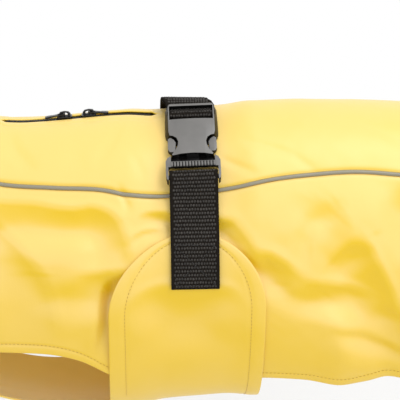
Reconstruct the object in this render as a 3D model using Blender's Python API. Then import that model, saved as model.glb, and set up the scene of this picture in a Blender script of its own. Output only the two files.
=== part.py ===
"""Dog raincoat as it stands when it is worn: hollow, with its belt fastened over the back.

Tables and named sizes are in millimetres and degrees, and the scene is in metres. The head is toward -X,
the tail toward +X, and the wearer's left side toward -Y. The origin is on the underside of the back panel,
at the middle of the belt. Cloth has two coordinates: `along` runs down the centre back from the belt, and
`around` runs from the centre back round the body, positive on the left side.
"""

import math
from functools import lru_cache

import bmesh
import bpy
import numpy as np
from mathutils import Matrix, Vector
from mathutils.geometry import tessellate_polygon

MM = 0.001

# ---------------------------------------------------------------- driving dimensions
WALL = 1.5  # coated cloth with its turned hems
SEAM_GAP = 0.3
GRID = 12.0  # spacing of the points on the cloth

NECK_EDGE = -225.0  # ends of the centre back line, measured from the belt
TAIL_EDGE = 380.0

ZIP_FROM = -160.0  # opening for the lead, on the centre back
ZIP_TO = -31.0
ZIP_HALF = 3.6
ZIP_TAPER = 5.0  # length of each pointed end
COIL_HALF = 2.7
COIL_TOP = 0.9
ZIP_TAPE_HALF = 14.0
ZIP_TAPE_BEYOND = 9.0
ZIP_TAPE_THICK = 1.0
ZIP_CLEAR = 0.7  # between the tapes and the back panel over them

PIPING_ACROSS = 3.2
PIPING_HEIGHT = 2.8
PIPING_LIFT = 1.1  # centre of the piping above the inside of the cloth

WING_ALONG = -6.0  # middle of the belly band
WING_HALF = 65.0
WING_TALL = 68.0
WING_AROUND = 197.0  # where the rounded end of a wing begins
WING_CLEAR = 0.8  # between a wing and the side panel that it lies on
CHEST_HALF = 64.0  # where the chest strip meets the belly band

WEBBING = 40.0
WEBBING_THICK = 1.4
STRAP_END = 174.0  # folded end of the strap on a wing

BUCKLE_LONG = 75.5
BUCKLE_AROUND = 54.5  # middle of the buckle, round the body
BUCKLE_LIFT = 0.8
BUCKLE_HALF = 22.4

SLIDER_FRONT = -107.5
SLIDER_REAR = -86.5
PIN_HEIGHT = 5.1  # hinge of a pull above the inside of the cloth
PULL_LONG = 17.0
PULL_DROOP = 8.0

# Cross-sections of the worn form. `lean` tips a section so that its lower edge goes toward the head, and
# `hang` is how far the hem of the side panel stands off the form.
SECTIONS = (
    # along  spine_x  spine_z  lean  half_width  half_height  hang
    (-225, -225, 10.5, 34, 74, 92, 0),
    (-190, -190, -1.5, 24, 82, 106, 0),
    (-155, -155, -6.5, 13, 90, 120, 3),
    (-110, -110, -5.5, 4, 97, 129, 4),
    (-60, -60, -1.5, 0, 100, 133, 0),
    (0, 0, 2.5, 0, 100, 133, 0),
    (60, 60, 5.0, 0, 100, 133, 0),
    (120, 120, 5.3, 0, 99, 131, 9),
    (180, 180, 2.8, 0, 97, 128, 15),
    (250, 250, -3.0, -3, 95, 122, 15),
    (320, 320, -13.0, -7, 91, 114, 12),
    (380, 379, -27.0, -12, 84, 104, 8),
)
SPINE_X, SPINE_Z, LEAN, HALF_WIDTH, HALF_HEIGHT, HANG = range(1, 7)

# The seam between the back panel and a side panel, with the piping in it.
SEAM = (
    # along  around
    (-225, 60),
    (-190, 69),
    (-152, 76),
    (-114, 81.5),
    (-75, 87.5),
    (-55, 93.5),
    (-34, 96.5),
    (0, 96.5),
    (36, 93.5),
    (68, 88.5),
    (100, 85.3),
    (140, 83),
    (171, 84.2),
    (250, 87),
    (320, 85),
    (380, 78),
)

# The lower edge of a side panel: seam to the chest, top of the leg opening, hem, rounded tail corner.
LOWER_EDGE = (
    # along  around
    (-225, 172),
    (-205, 191),
    (-188, 208),
    (-174, 220),
    (-155, 226),
    (-128, 227),
    (-105, 230),
    (-88, 240),
    (-72, 257),
    (-55, 271),
    (-30, 279),
    (10, 282),
    (80, 281),
    (150, 274),
    (220, 262),
    (280, 244),
    (320, 225),
    (350, 203),
    (368, 182),
    (380, 150),
)

# Half the width of the chest strip, from the bottom centre line.
CHEST_EDGE = (
    # along  half_width
    (-225, 89.5),
    (-205, 90.5),
    (-190, 85),
    (-178, 64),
    (-160, 50),
    (-135, 45),
    (-110, 46),
    (-90, 52),
    (-71, 64),
)
CHEST_SEAM_END = -186.0  # behind this the chest strip leaves the side panel and the leg opening begins
CHEST_FADE = 14.0
LOWER_SHARE = 1.45  # how far along the bend of the neck and tail edges the lower edge of a side panel lies

# Largest folds, each along a line on the cloth. A depth below zero is a trough.
FOLDS = (
    # side  from_along  from_around  to_along  to_around  width  depth
    (1, -150, 94, -85, 104, 9, -2.4),
    (1, -85, 104, -58, 136, 9, -2.6),
    (1, -112, 122, -72, 146, 15, 3.0),
    (1, -148, 118, -112, 176, 11, -3.4),
    (1, -112, 158, -78, 163, 8, -2.4),
    (1, 52, 148, 90, 166, 10, -3.0),
    (1, 90, 166, 134, 190, 11, -3.0),
    (1, 84, 160, 108, 136, 11, -2.6),
    (1, 139, 142, 112, 160, 9, -2.6),
    (1, 139, 142, 174, 206, 9, -3.4),
    (1, 96, 105, 137, 134, 12, -1.8),
    (1, 176, 120, 196, 200, 17, -3.2),
    (1, 232, 96, 226, 190, 19, -3.4),
    (1, 205, 178, 214, 262, 16, 4.5),
    (1, 244, 176, 252, 250, 15, -4.6),
    (1, 284, 150, 290, 236, 17, 4.2),
    (1, 322, 120, 328, 214, 15, -3.6),
    (1, 128, 214, 124, 276, 16, 4.0),
    (1, 164, 216, 168, 270, 14, -4.2),
    (1, -196, 84, -178, 190, 13, -2.6),
    (-1, -146, 90, -92, 100, 9, -2.2),
    (-1, -92, 100, -66, 130, 9, -2.6),
    (-1, -120, 118, -84, 150, 15, 2.8),
    (-1, -152, 132, -124, 178, 11, -3.2),
    (-1, 56, 142, 98, 170, 10, -3.0),
    (-1, 98, 170, 142, 184, 11, -2.8),
    (-1, 92, 150, 120, 124, 11, -2.4),
    (-1, 150, 150, 190, 198, 9, -3.2),
    (-1, 214, 104, 208, 186, 18, -3.4),
    (-1, 192, 186, 200, 264, 16, 4.4),
    (-1, 232, 180, 236, 252, 15, -4.4),
    (-1, 270, 156, 278, 240, 17, 4.2),
    (-1, 312, 128, 318, 216, 15, -3.6),
    (-1, 118, 220, 116, 278, 15, 3.8),
    (-1, 152, 218, 156, 272, 14, -4.0),
    (-1, -190, 88, -176, 186, 13, -2.4),
)

# The belt sinks into the cloth over the back: flat under the webbing, fading on both sides of it.
BELT_SINK = 2.5
BELT_FLAT = 25.0
BELT_FADE = 30.0

# Middle of the webbing above the inside of the cloth, over the back to the right wing.
RIGHT_BELT = (
    # around  lift
    (-STRAP_END, 5.2),
    (-160, 5.1),
    (-146, 5.1),
    (-134, 5.0),
    (-124, 4.2),
    (-112, 3.6),
    (-97, 3.6),
    (-84, 3.4),
    (-70, 3.2),
    (-56, 3.4),
    (-42, 4.8),
    (-28, 5.4),
    (-16, 6.6),
)
TAIL_BELT = (
    # around  lift
    (-16, 4.7),
    (-28, 3.4),
    (-42, 2.8),
    (-50, 2.7),
)
# The strap on the left wing, down from the buckle. Its two layers lie on each other.
LEFT_STRAP = (
    # around  lift
    (100, 7.0),
    (112, 4.4),
    (122, 4.6),
    (134, 5.1),
    (146, 5.2),
    (160, 5.2),
    (STRAP_END, 5.2),
)
LAYER_STEP = 1.9  # from the middle of one layer of webbing to the middle of the next
BELT_SHIFT = 3.3  # the belt over the back lies this much nearer the head than the buckle
TAIL_SHIFT = 2.0  # and its loose end a little nearer still

# Places on the buckle: across it, down it from its upper bar, and out from its underside.
BUCKLE_BAR = Vector((0, 8.6, 5.0))  # the belt wraps this bar of the socket
PLUG_BAR = Vector((0, 71.0, 4.9))  # the strap wraps this bar of the plug
BAR_RADIUS = 1.9
BELT_ENTRY = 3.9  # middle of the belt where it goes in under the socket's upper edge
WRAP_RADIUS = BAR_RADIUS + SEAM_GAP + WEBBING_THICK / 2 + 0.1


# ---------------------------------------------------------------- scene and materials
def clear_scene():
    for item in list(bpy.data.objects):
        bpy.data.objects.remove(item, do_unlink=True)


def material(name, colour, roughness, metallic=0.0):
    made = bpy.data.materials.new(name)
    made.use_nodes = True
    shader = made.node_tree.nodes["Principled BSDF"]
    shader.inputs["Base Color"].default_value = (*colour, 1.0)
    shader.inputs["Roughness"].default_value = roughness
    shader.inputs["Metallic"].default_value = metallic
    return made


# ---------------------------------------------------------------- the worn form
def read(table, column, at):
    """A column's value at a place along the table, on a smooth curve through the rows."""
    places = np.array([row[0] for row in table], float)
    values = np.array([row[column] for row in table], float)
    slopes = np.gradient(values, places)
    at = min(max(at, places[0]), places[-1])
    i = min(max(int(np.searchsorted(places, at)) - 1, 0), len(places) - 2)
    span = places[i + 1] - places[i]
    t = (at - places[i]) / span
    return float(
        (2 * t**3 - 3 * t**2 + 1) * values[i]
        + (t**3 - 2 * t**2 + t) * span * slopes[i]
        + (3 * t**2 - 2 * t**3) * values[i + 1]
        + (t**3 - t**2) * span * slopes[i + 1]
    )


def smooth(value):
    value = min(max(value, 0.0), 1.0)
    return value * value * (3 - 2 * value)


@lru_cache(maxsize=None)
def section(along):
    """Half a cross-section from the centre back down to the bottom: length so far, out and down."""
    turn = np.linspace(0, math.pi, 181)
    out = read(SECTIONS, HALF_WIDTH, along) * np.sin(turn)
    down = read(SECTIONS, HALF_HEIGHT, along) * (1 - np.cos(turn))
    steps = np.hypot(np.diff(out), np.diff(down))
    return np.concatenate([[0], np.cumsum(steps)]), out, down


def half_girth(along):
    return section(along)[0][-1]


def form(along, around):
    """A point of the bare form, before belt, folds and hang."""
    length, out, down = section(along)
    side = -1 if around > 0 else 1
    reach = abs(around)
    if reach > length[-1]:
        reach = 2 * length[-1] - reach
        side = -side
    lean = math.radians(read(SECTIONS, LEAN, along))
    fall = float(np.interp(reach, length, down))
    return Vector(
        (
            read(SECTIONS, SPINE_X, along) - math.sin(lean) * fall,
            side * float(np.interp(reach, length, out)),
            read(SECTIONS, SPINE_Z, along) - math.cos(lean) * fall,
        )
    )


def outward(along, around):
    step = 0.5
    round_body = form(along, around + step) - form(along, around - step)
    down_back = form(along + step, around) - form(along - step, around)
    return round_body.cross(down_back).normalized()


def fold(along, around):
    """Height of the largest folds at a place on the cloth."""
    height = 0.0
    side = 1 if around > 0 else -1
    here = Vector((along, abs(around)))
    for row_side, from_along, from_around, to_along, to_around, width, depth in FOLDS:
        if row_side != side:
            continue
        start = Vector((from_along, from_around))
        run = Vector((to_along, to_around)) - start
        place = min(max((here - start).dot(run) / run.length_squared, 0.0), 1.0)
        away = (here - start - run * place).length
        height += depth * math.exp(-((away / width) ** 2))
    return height


def rest(along, around):
    """How far the cloth lies from the bare form: belt, folds and the hang of the hem."""
    sink = BELT_SINK * (1 - smooth((abs(along) - BELT_FLAT) / BELT_FADE))
    clear_of_belt = smooth((abs(along) - BELT_FLAT) / 14)
    clear_of_seam = smooth((abs(around) - read(SEAM, 1, along)) / 16)
    hang = read(SECTIONS, HANG, along) * smooth((abs(around) - 180) / 90)
    return fold(along, around) * clear_of_belt * clear_of_seam + hang - sink


def cloth(along, around, lift):
    return form(along, around) + outward(along, around) * (lift + rest(along, around))


# ---------------------------------------------------------------- solids
def finish(name, points, faces, look):
    """A named object from points in millimetres."""
    mesh = bpy.data.meshes.new(name)
    mesh.from_pydata([Vector(p) * MM for p in points], [], faces)
    bm = bmesh.new()
    bm.from_mesh(mesh)
    bmesh.ops.recalc_face_normals(bm, faces=bm.faces[:])
    bm.to_mesh(mesh)
    bm.free()
    mesh.materials.append(look)
    mesh.shade_smooth()
    mesh.set_sharp_from_angle(angle=math.radians(35))
    made = bpy.data.objects.new(name, mesh)
    bpy.context.scene.collection.objects.link(made)
    return made


def sheet_from_grids(grids):
    """One sheet from grids of places that share their borders."""
    places, faces, known = [], [], {}

    def index(place):
        key = (round(place[0], 3), round(place[1], 3))
        if key not in known:
            known[key] = len(places)
            places.append(place)
        return known[key]

    for grid in grids:
        numbers = [[index(place) for place in line] for line in grid]
        for line, following in zip(numbers, numbers[1:]):
            for i in range(len(line) - 1):
                corners = (line[i], line[i + 1], following[i + 1], following[i])
                kept = tuple(dict.fromkeys(corners))
                if len(kept) > 2:
                    faces.append(kept)
    return places, faces


def wall(name, grids, look, inner, outer, surface=cloth):
    """A closed wall on the cloth. `inner` and `outer` give its faces' lift at a place."""
    places, faces = sheet_from_grids(grids)
    points = [surface(*place, inner(*place)) for place in places]
    points += [surface(*place, outer(*place)) for place in places]
    count = len(places)
    used = {}
    for face in faces:
        for a, b in zip(face, face[1:] + face[:1]):
            used[(a, b)] = used.get((a, b), 0) + 1
    sides = [(a, b, b + count, a + count) for a, b in used if (b, a) not in used]
    under = [tuple(reversed(face)) for face in faces]
    over = [tuple(i + count for i in face) for face in faces]
    return finish(name, points, under + over + sides, look)


def prism(name, outline, low, high, look, holes=()):
    """A flat outline in millimetres made solid between two heights, with holes through it."""
    loops = [[Vector((x, y, 0)) for x, y in loop] for loop in (outline, *holes)]
    flat = [point for loop in loops for point in loop]
    count = len(flat)
    caps = tessellate_polygon(loops)
    points = [(p.x, p.y, low) for p in flat] + [(p.x, p.y, high) for p in flat]
    faces = [tuple(reversed(face)) for face in caps]
    faces += [tuple(i + count for i in face) for face in caps]
    first = 0
    for loop in loops:
        for i in range(len(loop)):
            a, b = first + i, first + (i + 1) % len(loop)
            faces.append((a, b, b + count, a + count))
        first += len(loop)
    return finish(name, points, faces, look)


def combine(target, tool, operation):
    """Union with, or difference from, a hidden tool object."""
    tool.hide_render = True
    tool.display_type = "WIRE"
    tool.name = f"tool_{tool.name}"
    change = target.modifiers.new(operation.title(), "BOOLEAN")
    change.operation = operation
    change.solver = "EXACT"
    change.object = tool


def box(name, low, high, look):
    corners = ((low[0], low[1]), (high[0], low[1]), (high[0], high[1]), (low[0], high[1]))
    return prism(name, corners, low[2], high[2], look)


def cross_bar(name, half, centre, radius, look, sides=10):
    """A round bar across X, centred at (y, z)."""
    ring = [2 * math.pi * i / sides for i in range(sides)]
    points = []
    for x in (-half, half):
        points += [(x, centre[0] + radius * math.cos(t), centre[1] + radius * math.sin(t)) for t in ring]
    faces = [tuple(range(sides)), tuple(range(2 * sides - 1, sides - 1, -1))]
    faces += [(i, (i + 1) % sides, (i + 1) % sides + sides, i + sides) for i in range(sides)]
    return finish(name, points, faces, look)


def mirrored(half):
    """A closed outline from its right half, listed from top to bottom."""
    return [(x, y) for x, y in half] + [(-x, y) for x, y in reversed(half)]


# ---------------------------------------------------------------- cloth pieces
def columns(first, last):
    count = max(1, round((last - first) / GRID))
    return [first + (last - first) * i / count for i in range(count + 1)]


def back_columns():
    """Places along the back. The ends of the zip opening are among them."""
    opening = columns(ZIP_FROM + ZIP_TAPER, ZIP_TO - ZIP_TAPER)
    return [*columns(NECK_EDGE, ZIP_FROM), *opening, *columns(ZIP_TO, TAIL_EDGE)]


def end_shift(along, share):
    """The neck and tail edges bend toward the middle at the sides. `share` is 0 at the centre back."""
    neck = smooth((-165 - along) / 60) * (6 * share**2)
    tail = smooth((along - 270) / 110) * (-30 * share**2)
    return along + neck + tail


def seam_place(column):
    return end_shift(column, 1.0)


def zip_line(along):
    """Where the middle of the zip lies: on the centre back, drawn to the left beside the belt."""
    return 4.0 * smooth((along + 80) / 50)


def zip_half(along):
    """Half the width of the zip opening, pointed at both ends."""
    near = min(along - ZIP_FROM, ZIP_TO - along)
    return ZIP_HALF * min(max(near / ZIP_TAPER, 0.0), 1.0)


def back_panel(look):
    rows = 7
    grids = []
    for side in (1, -1):
        grid = []
        for column in back_columns():
            inner = zip_line(column) + side * zip_half(column)
            line = []
            for j in range(rows + 1):
                share = j / rows
                along = end_shift(column, share)
                outer = side * (read(SEAM, 1, column) - PIPING_ACROSS / 2 - SEAM_GAP)
                line.append((along, inner + (outer - inner) * share))
            grid.append(line if side > 0 else line[::-1])
        grids.append(grid)
    return wall("back_panel", grids, look, lambda a, r: 0.0, lambda a, r: WALL)


def side_panel(name, side, look):
    rows = 14
    grid = []
    for column in back_columns():
        top = read(SEAM, 1, column) + PIPING_ACROSS / 2 + SEAM_GAP
        low = read(LOWER_EDGE, 1, column)
        line = []
        for j in range(rows + 1):
            share = j / rows
            along = end_shift(column, 1.0 + (LOWER_SHARE - 1.0) * share)
            line.append((along, side * (top + (low - top) * share)))
        grid.append(line if side > 0 else line[::-1])
    return wall(name, [grid], look, lambda a, r: 0.0, lambda a, r: WALL)


def piping(name, side, look):
    sides = 8
    points = []
    for column in back_columns():
        along = seam_place(column)
        for i in range(sides):
            turn = 2 * math.pi * (i + 0.5) / sides
            around = read(SEAM, 1, column) + PIPING_ACROSS / 2 * math.cos(turn)
            lift = PIPING_LIFT + PIPING_HEIGHT / 2 * math.sin(turn)
            points.append(cloth(along, side * around, lift))
    rings = len(points) // sides
    faces = [tuple(range(sides)), tuple(range(len(points) - 1, len(points) - sides - 1, -1))]
    for ring in range(rings - 1):
        for i in range(sides):
            a, b = ring * sides + i, ring * sides + (i + 1) % sides
            faces.append((a, b, b + sides, a + sides))
    return finish(name, points, faces, look)


def chest_half(column):
    """Half the width of the chest strip: out to the side panels at the neck, and then to its own edge."""
    along = end_shift(column, LOWER_SHARE)
    sewn = half_girth(along) - read(LOWER_EDGE, 1, column) - SEAM_GAP
    own = read(CHEST_EDGE, 1, column)
    return sewn + (own - sewn) * smooth((column - CHEST_SEAM_END) / CHEST_FADE)


def belly_panel(look):
    """Chest strip, belly band and its two wings, cut in one piece."""
    band_low = WING_ALONG - WING_HALF
    chest_columns = [*columns(NECK_EDGE, ZIP_FROM), *columns(ZIP_FROM, band_low)[1:]]
    shares = [i / 4 - 1 for i in range(9)]

    def from_bottom(along, width):
        """Around, for a distance from the bottom centre line that is positive on the left."""
        reach = half_girth(along) - abs(width)
        return reach if width >= 0 else -reach

    chest = []
    for column in chest_columns:
        along = end_shift(column, LOWER_SHARE)
        half = chest_half(column)
        chest.append([(along, from_bottom(along, share * half)) for share in shares])
    wing_start = half_girth(0) - WING_AROUND
    widths = [CHEST_HALF * share for share in shares[4:]]
    steps = 7
    widths += [CHEST_HALF + (wing_start - CHEST_HALF) * i / steps for i in range(1, steps + 1)]
    halves = [WING_HALF] * len(widths)
    turns = 7
    for i in range(1, turns + 1):
        turn = math.pi / 2 * i / turns
        widths.append(wing_start + WING_TALL * math.sin(turn))
        halves.append(WING_HALF * math.cos(turn))
    grids = [chest]
    across = 10
    for side in (1, -1):
        band = []
        for width, half in zip(widths, halves):
            line = []
            for i in range(across + 1):
                along = WING_ALONG + half * (2 * i / across - 1)
                line.append((along, from_bottom(along, side * width)))
            band.append(line[::-1] if side > 0 else line)
        grids.append(band)

    def clear(along, around):
        """Under the wings the piece lies outside the side panels, and at the neck edge to edge with them."""
        return (WALL + WING_CLEAR) * smooth((along - CHEST_SEAM_END) / 60)

    return wall("belly_panel", grids, look, clear, lambda a, r: clear(a, r) + WALL)


def zip_strip(look):
    """Both tapes under the opening, with the closed coil standing up in it."""
    foot = COIL_HALF + 0.4
    offsets = (-ZIP_TAPE_HALF, -foot, -COIL_HALF, COIL_HALF, foot, ZIP_TAPE_HALF)
    coil_from = ZIP_FROM + ZIP_TAPER + 1.5
    coil_to = ZIP_TO - ZIP_TAPER - 1.5
    tape_from = ZIP_FROM - ZIP_TAPE_BEYOND
    tape_to = ZIP_TO + ZIP_TAPE_BEYOND
    stops = [tape_from, ZIP_FROM, coil_from - 1, *columns(coil_from, coil_to), coil_to + 1, ZIP_TO, tape_to]
    grid = [[(along, zip_line(along) + offset) for offset in offsets] for along in stops]

    def top(along, around):
        beside = abs(around - zip_line(along)) > COIL_HALF + 0.1
        beyond = along < coil_from - 0.1 or along > coil_to + 0.1
        return -ZIP_CLEAR if beside or beyond else COIL_TOP

    return wall("zip_strip", [grid], look, lambda a, r: -ZIP_CLEAR - ZIP_TAPE_THICK, top)


# ---------------------------------------------------------------- belt and buckle
def belt_across(around):
    """Direction across the belt, lying on the cloth and square to the belt."""
    down = form(0, around + 1) - form(0, around - 1)
    return outward(0, around).cross(down).normalized()


@lru_cache(maxsize=None)
def buckle_frame():
    """The buckle's own axes: X across it, Y up toward the centre back, Z out of the cloth."""
    out = outward(0, BUCKLE_AROUND)
    across = belt_across(BUCKLE_AROUND)
    middle = cloth(0, BUCKLE_AROUND, WALL + BUCKLE_LIFT)
    turned = Matrix((across, out.cross(across), out)).transposed().to_4x4()
    return Matrix.Translation(middle) @ turned


def on_buckle(place):
    """World point, in millimetres, of a place given across, down and out on the buckle."""
    return buckle_frame() @ Vector((place[0], BUCKLE_LONG / 2 - place[1], place[2]))


def webbing_on_buckle(place):
    """Middle of the webbing at a place on the buckle, followed by its direction across."""
    return (*on_buckle(place), *belt_across(BUCKLE_AROUND))


def place_on_buckle(thing):
    frame = buckle_frame().copy()
    frame.translation *= MM
    thing.matrix_world = frame


def soft_line(points, pieces=3):
    """A smooth curve through the rows, with its speed set by the distance between their middles."""
    rows = np.array(points)
    places = np.concatenate([[0], np.cumsum(np.linalg.norm(np.diff(rows[:, :3], axis=0), axis=1))])
    slopes = np.gradient(rows, places, axis=0)
    line = []
    for i in range(len(rows) - 1):
        span = places[i + 1] - places[i]
        for t in (step / pieces for step in range(pieces)):
            here = (2 * t**3 - 3 * t**2 + 1) * rows[i] + (t**3 - 2 * t**2 + t) * span * slopes[i]
            here += (3 * t**2 - 2 * t**3) * rows[i + 1] + (t**3 - t**2) * span * slopes[i + 1]
            line.append(here)
    return line + [rows[-1]]


def wrap(centre, from_turn, to_turn, steps=9):
    """Webbing round a bar of the buckle. A turn of 0 is down the buckle and 90 is out of it."""
    rows = []
    for i in range(steps):
        turn = math.radians(from_turn + (to_turn - from_turn) * i / (steps - 1))
        offset = Vector((0, math.cos(turn), math.sin(turn))) * WRAP_RADIUS
        rows.append(webbing_on_buckle(centre + offset))
    return rows


def ribbon(name, line, look, width=WEBBING, thick=WEBBING_THICK):
    """Flat webbing along a line of rows that hold its middle and its direction across."""
    middles = [Vector(row[:3]) for row in line]
    points = []
    for i, row in enumerate(line):
        across = Vector(row[3:]).normalized()
        run = middles[min(i + 1, len(line) - 1)] - middles[max(i - 1, 0)]
        out = run.cross(across).normalized()
        for side, up in ((-1, -1), (1, -1), (1, 1), (-1, 1)):
            points.append(middles[i] + across * (side * width / 2) + out * (up * thick / 2))
    last = len(points) - 4
    faces = [(0, 1, 2, 3), (last + 3, last + 2, last + 1, last)]
    for i in range(len(line) - 1):
        for k in range(4):
            a, b = 4 * i + k, 4 * i + (k + 1) % 4
            faces.append((a, b, b + 4, a + 4))
    return finish(name, points, faces, look)


def on_belt(table, raised=0.0, shifted=lambda around: 0.0):
    rows = []
    for around, lift in table:
        middle = cloth(0, around, lift + raised) + Vector((shifted(around), 0, 0))
        rows.append((*middle, *belt_across(around)))
    return rows


def belt_over_back(look):
    """From the right wing over the back, round the socket's bar and back under itself."""
    across = on_belt(RIGHT_BELT, shifted=lambda around: -BELT_SHIFT * smooth(-around / 30))
    tail = on_belt(TAIL_BELT, shifted=lambda around: -BELT_SHIFT * smooth(-around / 30) - TAIL_SHIFT)
    approach = [webbing_on_buckle((0, down, BELT_ENTRY)) for down in (-2, 2.4)]
    leaving = [webbing_on_buckle((0, down, BELT_ENTRY - LAYER_STEP)) for down in (2.4, -2)]
    line = soft_line(across + approach) + wrap(BUCKLE_BAR, 128, -90) + soft_line(leaving + tail)
    return ribbon("belt_over_back", line, look)


def left_strap(look):
    """A loop of webbing round the plug's bar, with both ends sewn to the left wing."""
    under = on_belt(LEFT_STRAP)
    over = on_belt(LEFT_STRAP, raised=LAYER_STEP)
    line = soft_line(under[::-1]) + wrap(PLUG_BAR, -117, -309) + soft_line(over)
    return ribbon("left_strap", line, look)


def buckle_socket(look):
    """Female half: a bar to adjust the belt, a flat body and two notches at the sides."""
    side = (
        (20.6, 0), (21.9, 1.4), (BUCKLE_HALF, 14), (BUCKLE_HALF, 27), (21.4, 31), (17.6, 31.8), (14.4, 34),
        (12.9, 37.6), (13.3, 41.4), (15.6, 46), (19.0, 50.2), (18.4, 51.2), (9.5, 50.2), (0.01, 49.8),
    )
    outline = [(x, BUCKLE_LONG / 2 - y) for x, y in mirrored(side)]
    window = [(x, BUCKLE_LONG / 2 - y) for x, y in ((-20.4, 2.0), (20.4, 2.0), (20.4, 15.2), (-20.4, 15.2))]
    body = prism("buckle_socket", outline, 0.2, 9.4, look, holes=[window])
    top = BUCKLE_LONG / 2
    under_bar = box("under_bar", (-20.4, top - 2.6, 0), (20.4, top + 1, 5.4), look)
    combine(body, under_bar, "DIFFERENCE")
    bar = cross_bar("bar", 21.2, (top - BUCKLE_BAR.y, BUCKLE_BAR.z), BAR_RADIUS, look)
    combine(body, bar, "UNION")
    mouth = box("mouth", (-17.2, top - 53, 2.0), (17.2, top - 30, 7.4), look)
    combine(body, mouth, "DIFFERENCE")
    for tool in (under_bar, bar, mouth, body):
        place_on_buckle(tool)
    return body


def buckle_plug(look):
    """Male half: two prongs in the socket's notches, a ribbed grip and a bar for the strap."""
    top = BUCKLE_LONG / 2
    side = ((18.2, 51.6), (21.0, 53.6), (22.6, 57), (22.6, 70), (21.9, 74.4), (20.6, 75.5))
    frame = [(x, top - y) for x, y in side]
    frame += [(20.6, top - 62.6), (-20.6, top - 62.6)]
    frame += [(-x, top - y) for x, y in reversed(side)]
    body = prism("buckle_plug", frame, 0.8, 8.4, look)
    recess = box("recess", (-18.2, top - 57.2, 3.0), (18.2, top - 51, 9.5), look)
    combine(body, recess, "DIFFERENCE")
    bar = cross_bar("plug_bar", 21.6, (top - PLUG_BAR.y, PLUG_BAR.z), BAR_RADIUS, look)
    combine(body, bar, "UNION")
    tools = [recess, bar]
    tongue = box("tongue", (-5, top - 55, 2.4), (5, top - 33, 7.0), look)
    tools.append(tongue)
    for turn in (-1, 1):
        shape = (
            (11.4, 56), (11.4, 47), (14.4, 47), (13.7, 37.6), (15.2, 34.8), (18.0, 32.6), (20.2, 34),
            (20.4, 44), (19.2, 46.4), (16.7, 48.0), (16.7, 56),
        )
        outline = [(turn * x, top - y) for x, y in shape]
        prong = prism("prong", outline, 2.4, 7.0, look)
        tools.append(prong)
    for tool in tools[2:]:
        combine(body, tool, "UNION")
    for thing in (*tools, body):
        place_on_buckle(thing)
    return body


# ---------------------------------------------------------------- zip sliders and pulls
def slider_frame(along, toward):
    """Axes at a slider: X along the zip to the side that its pull lies on, Z out of the cloth."""
    around = zip_line(along)
    out = outward(along, around)
    ahead, behind = along + 6 * toward, along - 6 * toward
    run = cloth(ahead, zip_line(ahead), 0) - cloth(behind, zip_line(behind), 0)
    run = (run - out * run.dot(out)).normalized()
    turned = Matrix((run, out.cross(run), out)).transposed().to_4x4()
    frame = Matrix.Translation(cloth(along, around, 0)) @ turned
    frame.translation *= MM
    return frame


def slider(name, along, toward, look):
    """Body that rides on the coil, with the bridge that holds the pull."""
    frame = slider_frame(along, toward)
    plan = [(6.4, 2.4), (5.6, 3.3), (0, 3.6), (-5.4, 4.5), (-6.4, 3.4)]
    outline = plan + [(x, -y) for x, y in reversed(plan)]
    body = prism(name, outline, 1.9, 3.3, look)
    keel = box("keel", (-6, -2.7, 1.2), (6, 2.7, 2.2), look)
    combine(body, keel, "UNION")
    profile = [(-5.2, 2.6), (-5.2, 5.4), (-3.6, 7.0), (0, 7.6), (3.6, 7.0), (5.0, 5.2), (5.0, 2.6)]
    opening = [(-2.9, 3.9), (-2.6, 5.6), (-1.4, 6.3), (1.4, 6.3), (2.6, 5.6), (2.9, 3.9)]
    bridge = prism("bridge", profile, -1.2, 1.2, look, holes=[opening])
    combine(body, bridge, "UNION")
    for thing in (keel, body):
        thing.matrix_world = frame
    bridge.matrix_world = frame @ Matrix.Rotation(math.pi / 2, 4, "X")
    return body


def pull(name, along, toward, look):
    """Tab with an eye round the bridge of its slider. Its origin is on the hinge axis."""
    plan = [(-0.6, 2.5), (5.6, 2.5), (7.6, 1.7), (10.4, 1.7), (11.6, 2.6), (15.8, 2.8), (PULL_LONG, 1.8)]
    outline = plan + [(x, -y) for x, y in reversed(plan)]
    eye = [(0.6, 1.55), (5.7, 1.55), (5.7, -1.55), (0.6, -1.55)]
    tab = prism(name, outline, -0.6, 0.6, look, holes=[eye])
    frame = slider_frame(along, toward)
    droop = Matrix.Rotation(math.radians(PULL_DROOP), 4, "Y")
    tab.matrix_world = frame @ Matrix.Translation((0, 0, PIN_HEIGHT * MM)) @ droop
    return tab


# ---------------------------------------------------------------- the raincoat
def build():
    clear_scene()
    yellow = material("coated_cloth", (0.93, 0.72, 0.16), 0.5)
    reflective = material("reflective_piping", (0.32, 0.31, 0.29), 0.35)
    webbing = material("black_webbing", (0.03, 0.028, 0.026), 0.85)
    plastic = material("moulded_plastic", (0.09, 0.088, 0.085), 0.35)
    zip_cloth = material("zip_strip", (0.02, 0.02, 0.02), 0.6)
    gloss = material("slider_metal", (0.02, 0.02, 0.022), 0.2, 0.6)
    back_panel(yellow)
    side_panel("side_panel_left", 1, yellow)
    side_panel("side_panel_right", -1, yellow)
    belly_panel(yellow)
    piping("piping_left", 1, reflective)
    piping("piping_right", -1, reflective)
    zip_strip(zip_cloth)
    belt_over_back(webbing)
    left_strap(webbing)
    buckle_socket(plastic)
    buckle_plug(plastic)
    slider("slider_front", SLIDER_FRONT, -1, gloss)
    slider("slider_rear", SLIDER_REAR, 1, gloss)
    pull("pull_front", SLIDER_FRONT, -1, gloss)
    pull("pull_rear", SLIDER_REAR, 1, gloss)


build()
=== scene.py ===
"""Looks of a dog raincoat: coated cloth, reflective piping, black webbing, a moulded buckle and a short zip.

Tables and named sizes are in millimetres, and meshes are in metres. The head is toward -X and the wearer's
left side toward -Y. On the cloth, `along` runs down the centre back from the belt, and `around` runs from
the centre back round the body, positive on the left. `lift` is the height above the inside of the cloth.
"""

import math

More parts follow.
